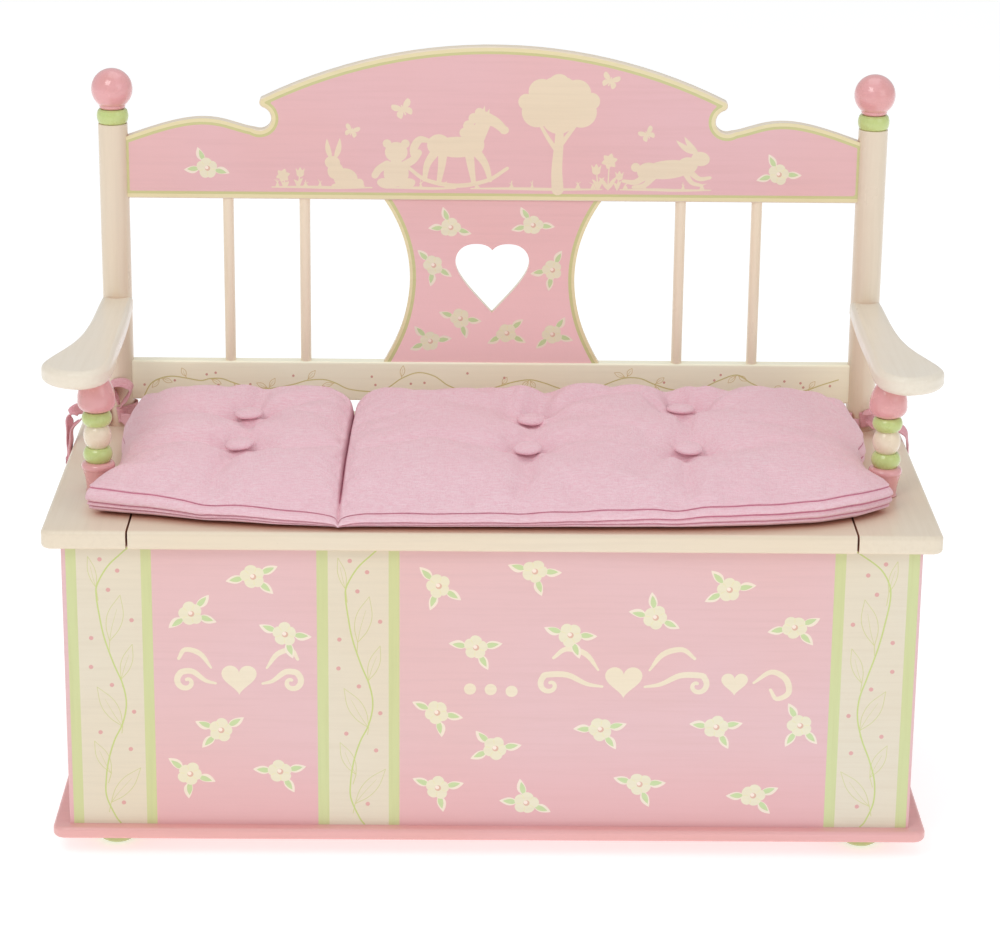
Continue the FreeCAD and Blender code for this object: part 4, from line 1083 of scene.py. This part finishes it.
CREASES = [  # x, y points, depth, width
    ([(-226, 20), (-200, 34), (-168, 46)], 4.2, 8), ([(-250, 18), (-290, 22), (-338, 10)], 3.6, 12),
    ([(-255, -62), (-300, -56), (-350, -82)], 5.0, 13), ([(-238, 0), (-240, -48)], 3.0, 9),
    ([(-243, -80), (-258, -130), (-262, -172)], 3.0, 10), ([(-226, -66), (-190, -74), (-165, -70)], 2.2, 10),
    ([(-236, 30), (-226, 60), (-214, 82)], 3.5, 12),
    ([(44, 36), (54, 60), (60, 86)], 7.0, 12), ([(52, 28), (84, 46), (120, 62)], 4.6, 8),
    ([(38, 24), (34, -48)], 3.2, 11), ([(18, -64), (-50, -60), (-112, -76)], 3.2, 9), ([(49, -62), (80, -50)], 3.2, 7),
    ([(32, -80), (30, -130), (22, -176)], 3.2, 12), ([(24, 36), (-20, 30), (-60, 38)], 2.0, 12),
    ([(184, 54), (178, 68), (170, 82)], 6.0, 10), ([(205, 48), (226, 62), (238, 76)], 4.2, 9), ([(190, 24), (187, -48)], 3.4, 9),
    ([(176, -74), (150, -100), (132, -128)], 4.0, 10), ([(184, -80), (180, -130), (170, -176)], 3.4, 11),
    ([(202, -66), (240, -72), (275, -64)], 2.4, 11), ([(206, 36), (250, 30), (300, 36)], 2.2, 12),
]


def crease(x, y, pts, depth, width):
    c = catmull(pts, 8) if len(pts) > 2 else np.linspace(pts[0], pts[1], 12)
    s = np.linspace(0, 1, len(c))
    best = np.full(x.shape, 1e9)
    at = np.zeros(x.shape)
    for i in range(len(c) - 1):
        a, d = c[i], c[i + 1] - c[i]
        t = np.clip(((x - a[0]) * d[0] + (y - a[1]) * d[1]) / (d @ d), 0, 1)
        r = np.hypot(x - a[0] - t * d[0], y - a[1] - t * d[1])
        hit = r < best
        best = np.where(hit, r, best)
        at = np.where(hit, s[i] + t * (s[i + 1] - s[i]), at)
    k = depth * (1 - 0.62 * at)
    w = width * (0.75 + 0.6 * at)
    return -k * np.exp(-(best / w) ** 2) + 0.35 * k * np.exp(-((best - 1.9 * w) / (0.9 * w)) ** 2)


def cleft_x(y):
    return lerp([(-190, -142.5), (-119, -140.4), (4, -138.2), (82, -135)], y)


def fabric_height(x, y, yf, xl, xr, yb, zs):
    """Height of the cushion's upper surface over the lid, in mm."""
    df, db, dl, dr = y - yf, yb - y, x - xl, xr - x
    f = lambda d, w, p: np.sin(np.clip(d / w, 0, 1) * math.pi / 2) ** p
    crown = lerp([(-190, 42), (-120, 44), (-60, 46), (0, 48.5), (30, 51), (60, 55), (84, 59), (96, 60)], y)
    crown = crown + lerp([(-374, -2), (-300, 1.0), (-240, 2.0), (-160, 0), (-60, 0.5), (40, 2), (110, 4.5), (270, 4), (330, 1), (372, -4)], x) \
        * smooth((y + 40) / 110)
    edge = f(df, 105, 0.72) * f(db, 22, 0.6) * np.minimum(f(dl, 62, 0.6), f(dr, 70, 0.6))
    z = zs + (crown - zs) * edge
    w = lerp([(-190, 14), (-100, 20), (0, 27), (96, 34)], y)
    depth = lerp([(-190, 4), (-150, 7), (-100, 10), (0, 13), (60, 17), (96, 16)], y)
    dc = np.abs(x - cleft_x(y))
    g = np.sqrt(np.clip(1 - (1 - np.clip(dc / w, 0, 1)) ** 2.2, 0, 1))
    z = z - depth * (1 - g) - 8.5 * np.exp(-(dc / 1.9) ** 2) * (0.35 + 0.65 * smooth((y + 178) / 40))
    for i, (bx, by) in enumerate(BUTTONS):
        r = np.hypot((x - bx), (y - by) * 1.05)
        a = np.arctan2(y - by, x - bx)
        z = z - [10.5, 10.5, 14.0, 11, 15.5, 11][i] * (1 - smooth((r - 10) / 34)) ** 1.2
        z = z + 1.1 * np.cos(7 * a + i * 1.7) * np.exp(-((r - 21) / 7.5) ** 2)
    for pts, depth, width in CREASES:
        z = z + crease(x, y, pts, depth * 1.5, width) * np.clip(g, 0.1, 1)
    return z


def build_cushion():
    rng = np.random.default_rng(7)
    # columns crowd at the fold, rows at the front and rear edges
    near = np.array([0, 0.8, 1.6, 2.5, 3.6, 5.2, 7.4, 10.4, 14.6, 19.6])
    to_left = np.concatenate([near, np.linspace(19.6, 234, 43)[1:]])
    to_right = np.concatenate([near, np.linspace(19.6, 511, 96)[1:]])
    xs = np.concatenate([-to_left[::-1], to_right[1:]])
    nx = len(xs)
    ys = np.concatenate([np.linspace(0, 0.06, 6)[:-1], np.linspace(0.06, 0.84, 46)[:-1], np.linspace(0.84, 1, 14)])
    ny = len(ys)
    col = (234.0 + xs) / 745.0
    u, v = np.meshgrid(col, ys, indexing="ij")
    yb = 90.5 + 0 * u
    X = np.zeros_like(u)
    Y = np.zeros_like(u)
    X += -374 + 745 * u
    for _ in range(6):
        yf = lerp(Y_FRONT, X)
        notch = 9 * np.exp(-((X - cleft_x(82.0)) / 15) ** 2)
        yb = 90.5 - notch - 1.5 * np.sin(X / 31.0) ** 2
        Y = yf + (yb - yf) * v
        xl, xr = lerp(X_LEFT, Y), lerp(X_RIGHT, Y)
        cx = cleft_x(Y)
        X = np.where(u < 234.0 / 745.0, xl + (cx - xl) * (u / (234.0 / 745.0)),
                     cx + (xr - cx) * ((u - 234.0 / 745.0) / (1 - 234.0 / 745.0)))
    xl, xr = lerp(X_LEFT, Y), lerp(X_RIGHT, Y)
    yf = lerp(Y_FRONT, X)
    zs = lerp(Z_SEAM, X) + 5.0 * smooth((Y + 100) / 150) + lerp([(-374, 12), (-200, 15), (100, 13), (372, 10)], X) * smooth((Y - 50) / 40)
    wave = 0.7 * np.sin(X / 17.0 + 1) + 0.5 * np.sin(X / 7.3) + 0.5 * np.sin(Y / 9.0)
    zs = zs + wave * 0.6
    Z = fabric_height(X, Y, yf, xl, xr, yb, zs)
    return nx, ny, X, Y, Z, xs, ys


def settle(P):
    """The upper cloth pressed up by its filling and held at its seams, its fold and its buttons. Gives the moved points, in mm."""
    idx = lambda i, j: i * ny + j
    me = bpy.data.meshes.new("settle")
    me.from_pydata((P.reshape(-1, 3) * MM).tolist(), [],
                   [(idx(i, j), idx(i + 1, j), idx(i + 1, j + 1), idx(i, j + 1)) for i in range(nx - 1) for j in range(ny - 1)])
    ob = bpy.data.objects.new("settle", me)
    scene.collection.objects.link(ob)
    hold = np.zeros((nx, ny), bool)
    hold[:2] = hold[-2:] = True
    hold[:, :2] = hold[:, -2:] = True
    hold |= np.abs(P[..., 0] - cleft_x(P[..., 1])) < 3.0
    for bx, by in BUTTONS:
        hold |= np.hypot(P[..., 0] - bx, P[..., 1] - by) < 16
    ob.vertex_groups.new(name="pin").add([int(k) for k in np.nonzero(hold.ravel())[0]], 1.0, "REPLACE")
    md = ob.modifiers.new("cloth", "CLOTH")
    st = md.settings
    st.quality = 5
    st.mass = 0.25
    st.tension_stiffness, st.compression_stiffness, st.shear_stiffness, st.bending_stiffness = 14, 10, 4, 0.3
    st.use_pressure = True
    st.uniform_pressure_force = 3.0
    st.vertex_group_mass = "pin"
    st.shrink_min = -0.035
    st.effector_weights.gravity = 0
    md.collision_settings.use_collision = False
    md.point_cache.frame_start, md.point_cache.frame_end = 1, 20
    for f in range(1, 21):
        scene.frame_set(f)
    ev = ob.evaluated_get(bpy.context.evaluated_depsgraph_get())
    new = np.array([v.co for v in ev.data.vertices]).reshape(P.shape) / MM
    scene.frame_set(1)
    bpy.data.objects.remove(ob)
    bpy.data.meshes.remove(me)
    d = np.nan_to_num(new - P)
    print("settle moved", round(float(np.abs(d).max()), 2), round(float(d[..., 2].mean()), 2))
    calm = d.copy()
    for _ in range(60):
        calm[1:-1, 1:-1] = (calm[2:, 1:-1] + calm[:-2, 1:-1] + calm[1:-1, 2:] + calm[1:-1, :-2]) / 4
    d = d - 0.75 * calm
    size = np.linalg.norm(d, axis=2, keepdims=True)
    d *= np.minimum(1, 7.0 / np.maximum(size, 1e-9))
    d[hold] = 0
    return P + d


def ring_ids(nx, ny):
    """Grid indices round the edge of an nx by ny grid, anticlockwise from the front left corner."""
    r = [(i, 0) for i in range(nx)] + [(nx - 1, j) for j in range(1, ny)]
    r += [(i, ny - 1) for i in range(nx - 2, -1, -1)] + [(0, j) for j in range(ny - 2, 0, -1)]
    return r


def ring_normals(P):
    """Outward plan normals of the ring's points."""
    t = np.roll(P, -1, 0) - np.roll(P, 1, 0)
    t /= np.maximum(np.linalg.norm(t, axis=1), 1e-9)[:, None]
    n = np.stack([t[:, 1], -t[:, 0]], 1)
    for _ in range(3):
        n = (np.roll(n, 1, 0) + n + np.roll(n, -1, 0)) / 3
    return n / np.linalg.norm(n, axis=1)[:, None]


def mesh_from(name, nx, ny, top, rows, bottom):
    """A closed cushion: top grid, rings of side points, bottom grid, in mm with z from the seat and y from the datum."""
    ring = ring_ids(nx, ny)
    n = len(ring)
    pts = [top.reshape(-1, 3)] + [r for r in rows] + [bottom.reshape(-1, 3)]
    start = [0]
    for p in pts[:-1]:
        start.append(start[-1] + len(p))
    faces = []
    tid = lambda i, j: i * ny + j
    for i in range(nx - 1):
        for j in range(ny - 1):
            faces.append((tid(i, j), tid(i + 1, j), tid(i + 1, j + 1), tid(i, j + 1)))
            b = start[-1]
            faces.append((b + tid(i, j + 1), b + tid(i + 1, j + 1), b + tid(i + 1, j), b + tid(i, j)))
    rings = [[tid(*r) for r in ring]] + [[start[k + 1] + i for i in range(n)] for k in range(len(rows))]
    rings.append([start[-1] + tid(*r) for r in ring])
    for a, b in zip(rings, rings[1:]):
        for i in range(n):
            j = (i + 1) % n
            faces.append((a[i], b[i], b[j], a[j]))
    co = np.concatenate(pts)
    co = np.stack([co[:, 0], co[:, 1] + FIT_Y, co[:, 2] + SEAT], 1) * MM
    me = bpy.data.meshes.new(name)
    me.from_pydata(co.tolist(), [], faces)
    me.validate()
    me.update()
    return me, start, rings


def side_rows(ringtop, fractions, lift, zlow=1.6, under=6.0):
    """Side points between the top seam and the underside. lift gives each row's offset out of the plain curve."""
    nrm = ring_normals(ringtop[:, :2])
    out = []
    x = ringtop[:, 0]
    s2 = lerp([(-374, 0.56), (-268, 0.56), (-262, 0.47), (-250, 0.52), (-200, 0.55), (-150, 0.60), (-139, 0.66), (-126, 0.56), (60, 0.56),
               (70, 0.50), (90, 0.54), (180, 0.40), (374, 0.40)], x)
    s3 = lerp([(-374, 0.74), (-262, 0.74), (-250, 0.66), (-200, 0.74), (-139, 0.82), (-120, 0.74), (60, 0.73), (74, 0.66), (100, 0.73),
               (220, 0.70), (374, 0.74)], x)
    for t0, off in zip(fractions, lift):
        t = np.where(t0 < 0.17, t0, np.where(t0 < 0.565, 0.17 + (t0 - 0.17) / 0.395 * (s2 - 0.17),
                     np.where(t0 < 0.73, s2 + (t0 - 0.565) / 0.165 * (s3 - s2), s3 + (t0 - 0.73) / 0.27 * (1 - s3))))
        z = ringtop[:, 2] * (1 - t) + zlow * t
        rear = smooth((nrm[:, 1] - 0.10) / 0.36)
        front = smooth((-nrm[:, 1] - 0.05) / 0.45)
        back = (under * t ** 6 - (1.0 + 2.2 * front) * np.sin(np.pi * np.minimum(1, t * 1.15))) * (1 - rear) + rear * (17.0 * t + 1.0) - off * (0.12 + 0.88 * front) * (1 - rear)
        p = ringtop[:, :2] - nrm * back[:, None]
        out.append(np.column_stack([p, z]))
    return out


nx, ny, CX, CY, CZ, gx, gy = build_cushion()
top = np.stack([CX, CY, CZ], 2)
top = settle(top)
CX, CY, CZ = top[..., 0].copy(), top[..., 1].copy(), top[..., 2].copy()
ring = ring_ids(nx, ny)
ringtop = np.array([top[i, j] for i, j in ring])
rn = ring_normals(ringtop[:, :2])


def underside(ringlast):
    """The flat underside, filled in from its edge."""
    cx, cy = 0.0, -50.0
    b = top.copy()
    b[..., 2] = 1.0
    w = 9.0
    e = {}
    for k, (i, j) in enumerate(ring):
        e[(i, j)] = ringlast[k]
    for (i, j), p in e.items():
        b[i, j] = p
    sx = np.array([e[(i, 0)] for i in range(nx)])
    ex = np.array([e[(i, ny - 1)] for i in range(nx)])
    for i in range(1, nx - 1):
        t = np.linspace(0, 1, ny)[1:-1, None]
        b[i, 1:-1] = sx[i] * (1 - t) + ex[i] * t
        b[i, 1:-1, 2] = 1.0
    return b


def build_mesh(name, fractions, lift, top, ringtop):
    rows = side_rows(ringtop, fractions, lift)
    last = rows.pop()
    return mesh_from(name, nx, ny, top, rows, underside(last))


# the sewn seams round the side: a raised lip with a groove under it, three times
FR = [0.05, 0.085, 0.125, 0.17, 0.28, 0.42, 0.50, 0.535, 0.565, 0.60, 0.64, 0.69, 0.715, 0.745, 0.78, 0.84, 0.92, 1.0]
LF = [0.6, -1.8, -1.6, 1.8, 3.0, 3.6, 3.8, 2.6, 0.2, 0.4, 3.4, 3.8, 0.8, 1.2, 4.2, 4.2, 2.4, 0.0]
GROOVES = [(2, 3), (9, 10), (13, 14)]
lip = ringtop.copy()
lip[:, :2] += rn * (0.5 + 1.1 * smooth((-rn[:, 1] - 0.05) / 0.45))[:, None]
for k, (i, j) in enumerate(ring):
    top[i, j, :2] = lip[k, :2]
me, start, rings = build_mesh("cushion_mesh", FR, LF, top, lip)
cushion = bpy.data.objects.new("seat_cushion_linen", me)
scene.collection.objects.link(cushion)
me.materials.append(M["linen"])
me.materials.append(M["linen_seam_shade"])
row_of = {}
for k, r in enumerate(rings):
    for v in r:
        row_of[v] = k
# the groove rows under the seam lips and the faces along the fold take the darker linen: painted shade in these
# hollows, at the grooves also standing for the stitch lines
fold = {i * ny + j for i in range(nx) for j in range(6, ny - 1) if abs(CX[i, j] - cleft_x(CY[i, j])) < 1.2}
for p in me.polygons:
    p.use_smooth = True
    rows_here = {row_of.get(v, -1) for v in p.vertices}
    if any(rows_here == {a, b} for a, b in GROOVES) or sum(v in fold for v in p.vertices) == 4:
        p.material_index = 1
sub = cushion.modifiers.new("sub", "SUBSURF")
sub.levels = sub.render_levels = 1
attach(cushion, "lid")
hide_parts("seat_cushion")


# ---------------------------------------------------------------- buttons
def surface_z(x, y):
    d = (CX - x) ** 2 + (CY - y) ** 2
    k = np.argsort(d.ravel())[:6]
    w = 1 / (d.ravel()[k] + 1)
    return float((CZ.ravel()[k] * w).sum() / w.sum())


def button(i, bx, by):
    prof = [(0.0, 3.9), (2.5, 3.85), (5.0, 3.6), (8.0, 3.0), (10.8, 2.1), (12.8, 1.0), (14.0, -0.3), (14.2, -1.5), (13.2, -2.6),
            (11.0, -3.1), (6.0, -3.2), (0.0, -3.2)]
    bm = bmesh.new()
    n = 40
    rings = []
    for k, (r, z) in enumerate(prof):
        if r == 0:
            rings.append([bm.verts.new((0, 0, z * MM))])
        else:
            row = []
            for a in range(n):
                t = 2 * math.pi * a / n
                wob = 1 + 0.012 * math.sin(5 * t + i) + (0.010 * math.sin(17 * t + 2 * i) if 9 < r else 0)
                row.append(bm.verts.new((r * wob * math.cos(t) * MM, r * wob * math.sin(t) * MM, z * MM)))
            rings.append(row)
    for a, b in zip(rings, rings[1:]):
        for k in range(n):
            j = (k + 1) % n
            if len(a) == 1:
                bm.faces.new((a[0], b[k], b[j]))
            elif len(b) == 1:
                bm.faces.new((a[k], b[0], a[j]))
            else:
                bm.faces.new((a[k], b[k], b[j], a[j]))
    bmesh.ops.recalc_face_normals(bm, faces=bm.faces)
    h = 12.0
    gxx = (surface_z(bx + h, by) - surface_z(bx - h, by)) / (2 * h) * 0.6
    gyy = (surface_z(bx, by + h) - surface_z(bx, by - h)) / (2 * h) * 0.6
    up = Vector((-gxx, -gyy, 1)).normalized()
    rot = Vector((0, 0, 1)).rotation_difference(up).to_matrix().to_4x4()
    z = surface_z(bx, by) + 4.2
    bm.transform(Matrix.Translation(Vector((bx, by + FIT_Y, z + SEAT)) * MM) @ rot)
    for f in bm.faces:
        f.smooth = True
    return bm


bmb = bmesh.new()
for i, (bx, by) in enumerate(BUTTONS):
    one = button(i, bx, by)
    tmp = bpy.data.meshes.new("tmp")
    one.to_mesh(tmp)
    one.free()
    bmb.from_mesh(tmp)
    bpy.data.meshes.remove(tmp)
bme = bpy.data.meshes.new("buttons")
bmb.to_mesh(bme)
bmb.free()
buttons = bpy.data.objects.new("cushion_buttons_covered", bme)
scene.collection.objects.link(buttons)
bme.materials.append(M["linen"])
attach(buttons, "lid")
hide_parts("cushion_buttons")

# ---------------------------------------------------------------- ties
def curve3(pts, step=2.0):
    """A smooth path through 3-D points, in mm, at even steps."""
    p = np.array(pts, float)
    q = np.vstack([2 * p[0] - p[1], p, 2 * p[-1] - p[-2]])
    out = []
    for i in range(1, len(q) - 2):
        for t in np.linspace(0, 1, 14, endpoint=False):
            a, b, c, d = q[i - 1:i + 3]
            out.append(0.5 * (2 * b + (c - a) * t + (2 * a - 5 * b + 4 * c - d) * t ** 2 + (3 * b - a - 3 * c + d) * t ** 3))
    out = np.array(out + [p[-1]])
    run = np.concatenate([[0], np.cumsum(np.linalg.norm(np.diff(out, axis=0), axis=1))])
    n = max(8, int(run[-1] / step))
    at = np.linspace(0, run[-1], n)
    return np.stack([np.interp(at, run, out[:, k]) for k in range(3)], 1), float(run[-1]), at / run[-1]


def ribbon(name, pts, across, width, pinch=(), cup=0.0, thick=1.1, seed=0.0, on="bench"):
    """A strip of the tie cloth along a path. across gives its width direction at each point. Points are in final mm, z from the seat."""
    c, length, s = curve3(pts)
    n = len(c)
    keys = np.linspace(0, 1, len(across))
    w = np.stack([np.interp(s, keys, np.array(across, float)[:, k]) for k in range(3)], 1)
    t = np.gradient(c, axis=0)
    t /= np.linalg.norm(t, axis=1)[:, None]
    w -= (w * t).sum(1)[:, None] * t
    w /= np.linalg.norm(w, axis=1)[:, None]
    nn = np.cross(t, w)
    half = np.full(n, width / 2)
    for at, share in pinch:
        half *= 1 - (1 - share) * np.exp(-((s - at) * length / 7.0) ** 2)
    m = 9
    e = np.linspace(-1, 1, m)
    rows = []
    for k in range(n):
        hem = np.where(np.abs(e) > 0.7, 1.0, 0.72) * thick / 2
        roll = cup * (e ** 2 - 0.5) + 0.45 * np.sin(e * 4.0 + s[k] * length / 6.0 + seed) + 0.3 * np.sin(s[k] * length / 3.7 + seed * 3)
        mid = c[k] + w[k] * (half[k] * e)[:, None] + nn[k] * roll[:, None]
        rows.append((mid + nn[k] * hem[:, None], mid - nn[k] * hem[:, None]))
    co, faces = [], []
    for up, dn in rows:
        co += [*up, *dn[::-1]]
    r = 2 * m
    for k in range(n - 1):
        for i in range(r):
            j = (i + 1) % r
            faces.append((k * r + i, k * r + j, (k + 1) * r + j, (k + 1) * r + i))
    faces.append(tuple(range(r - 1, -1, -1)))
    faces.append(tuple((n - 1) * r + i for i in range(r)))
    co = np.array(co) + np.array([0, 0, SEAT])
    tm = bpy.data.meshes.new(name)
    tm.from_pydata((co * MM).tolist(), [], faces)
    tm.validate()
    b = bmesh.new()
    b.from_mesh(tm)
    bmesh.ops.recalc_face_normals(b, faces=b.faces)
    b.to_mesh(tm)
    b.free()
    for p in tm.polygons:
        p.use_smooth = len(p.vertices) == 4
    tm.materials.append(M["ribbon"])
    ob = bpy.data.objects.new(name, tm)
    scene.collection.objects.link(ob)
    if on == "blend":
        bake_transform(ob)
    else:
        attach(ob, on)
    print("ribbon", name, round(width), round(length))
    return ob


def tie(side):
    sx = -1 if side == "left" else 1
    px, py = 375.5 * sx, 144.0
    a0 = math.radians(-96)
    band = [(px + sx * 0 + (16.0 + 1.5 * k / 24) * math.cos(a0 + 2 * math.pi * 0.93 * k / 24),
             py + (16.0 + 1.5 * k / 24) * math.sin(a0 + 2 * math.pi * 0.93 * k / 24), 12.5 + 2.0 * math.sin(k / 4.0)) for k in range(25)]
    pieces = [ribbon(side + "_tie_band", band, [(0, 0, 1)], 16, cup=0.6, seed=1 + sx)]
    pieces.append(ribbon(side + "_tie_strap", [(350.5 * sx, 93.0, 14.0), (357.0 * sx, 101.5, 12.5), (363.0 * sx, 110, 11.0), (368.5 * sx, 118, 10.5),
                                             (373.0 * sx, 124.2, 11.0)], [(0, 0.15, 1), (0, 0.1, 1)], 15, pinch=[(1.0, 0.6)], cup=0.8,
                         seed=2.0, on="blend"))
    if side == "left":
        bow = [(-373.5, 124.0, 22), (-370, 119, 29), (-363.5, 116, 37), (-361.5, 117, 44), (-367, 119, 48.5), (-376, 121, 49.0),
               (-383.0, 122.5, 46), (-381.5, 123.0, 40), (-377.5, 123.5, 32), (-375, 122.5, 25)]
        pieces.append(ribbon("left_tie_bow", bow, [(0.1, 1, 0.25), (0.1, 1, 0.4), (-0.1, 1, 0.4), (0.1, 1, 0.25)], 13, pinch=[(0, 0.5), (1, 0.5)],
                             cup=0.9, seed=0.4))
        tail = [(-391.5, 120, 14), (-399, 114, 20), (-407, 106, 26), (-415, 98, 27), (-420.8, 92, 20), (-421.8, 88, 6), (-421.0, 84, -8),
                (-420.2, 80, -17), (-419.0, 76, -19), (-418.4, 72, -12), (-418.4, 76, 0), (-417.4, 84, 11), (-411, 92, 19)]
        pieces.append(ribbon("left_tie_loop", tail, [(0.15, 0.2, 1), (0.5, 0.55, 0.8), (0.25, 1, 0.35), (0.1, 1, 0.3), (0.2, 1, 0.3)], 12,
                             pinch=[(0, 0.6)], cup=0.8, seed=1.6))
    else:
        bow = [(376, 124.0, 21), (381, 119, 24), (389, 115, 26), (396, 113, 24), (399, 113, 17), (395, 114, 11), (387, 117, 10), (380, 121, 14)]
        pieces.append(ribbon("right_tie_bow", bow, [(0.1, 1, 0.25), (0.1, 1, 0.3), (0.1, 1, 0.25)], 12, pinch=[(0, 0.5), (1, 0.5)],
                             cup=0.9, seed=0.9))
        tail = [(391.5, 120, 14), (399, 114, 13), (407, 108, 12), (413, 104, 10.5), (417.8, 101, 5), (418.9, 98, -6), (419.0, 96, -15)]
        pieces.append(ribbon("right_tie_tail", tail, [(-0.1, 0.2, 1), (0.3, 0.6, 0.8), (0.1, 1, 0.3), (0.1, 1, 0.2)], 10.5,
                             pinch=[(0, 0.6)], cup=0.8, seed=2.6))
    return pieces


for side in ("left", "right"):
    made = tie(side)
    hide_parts(side + "_cushion_tie")

# the open lid stands against the bottom rail; here the cushion and its buttons only get their own copies of their mesh
# data
for ob in (cushion, buttons):
    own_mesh(ob)
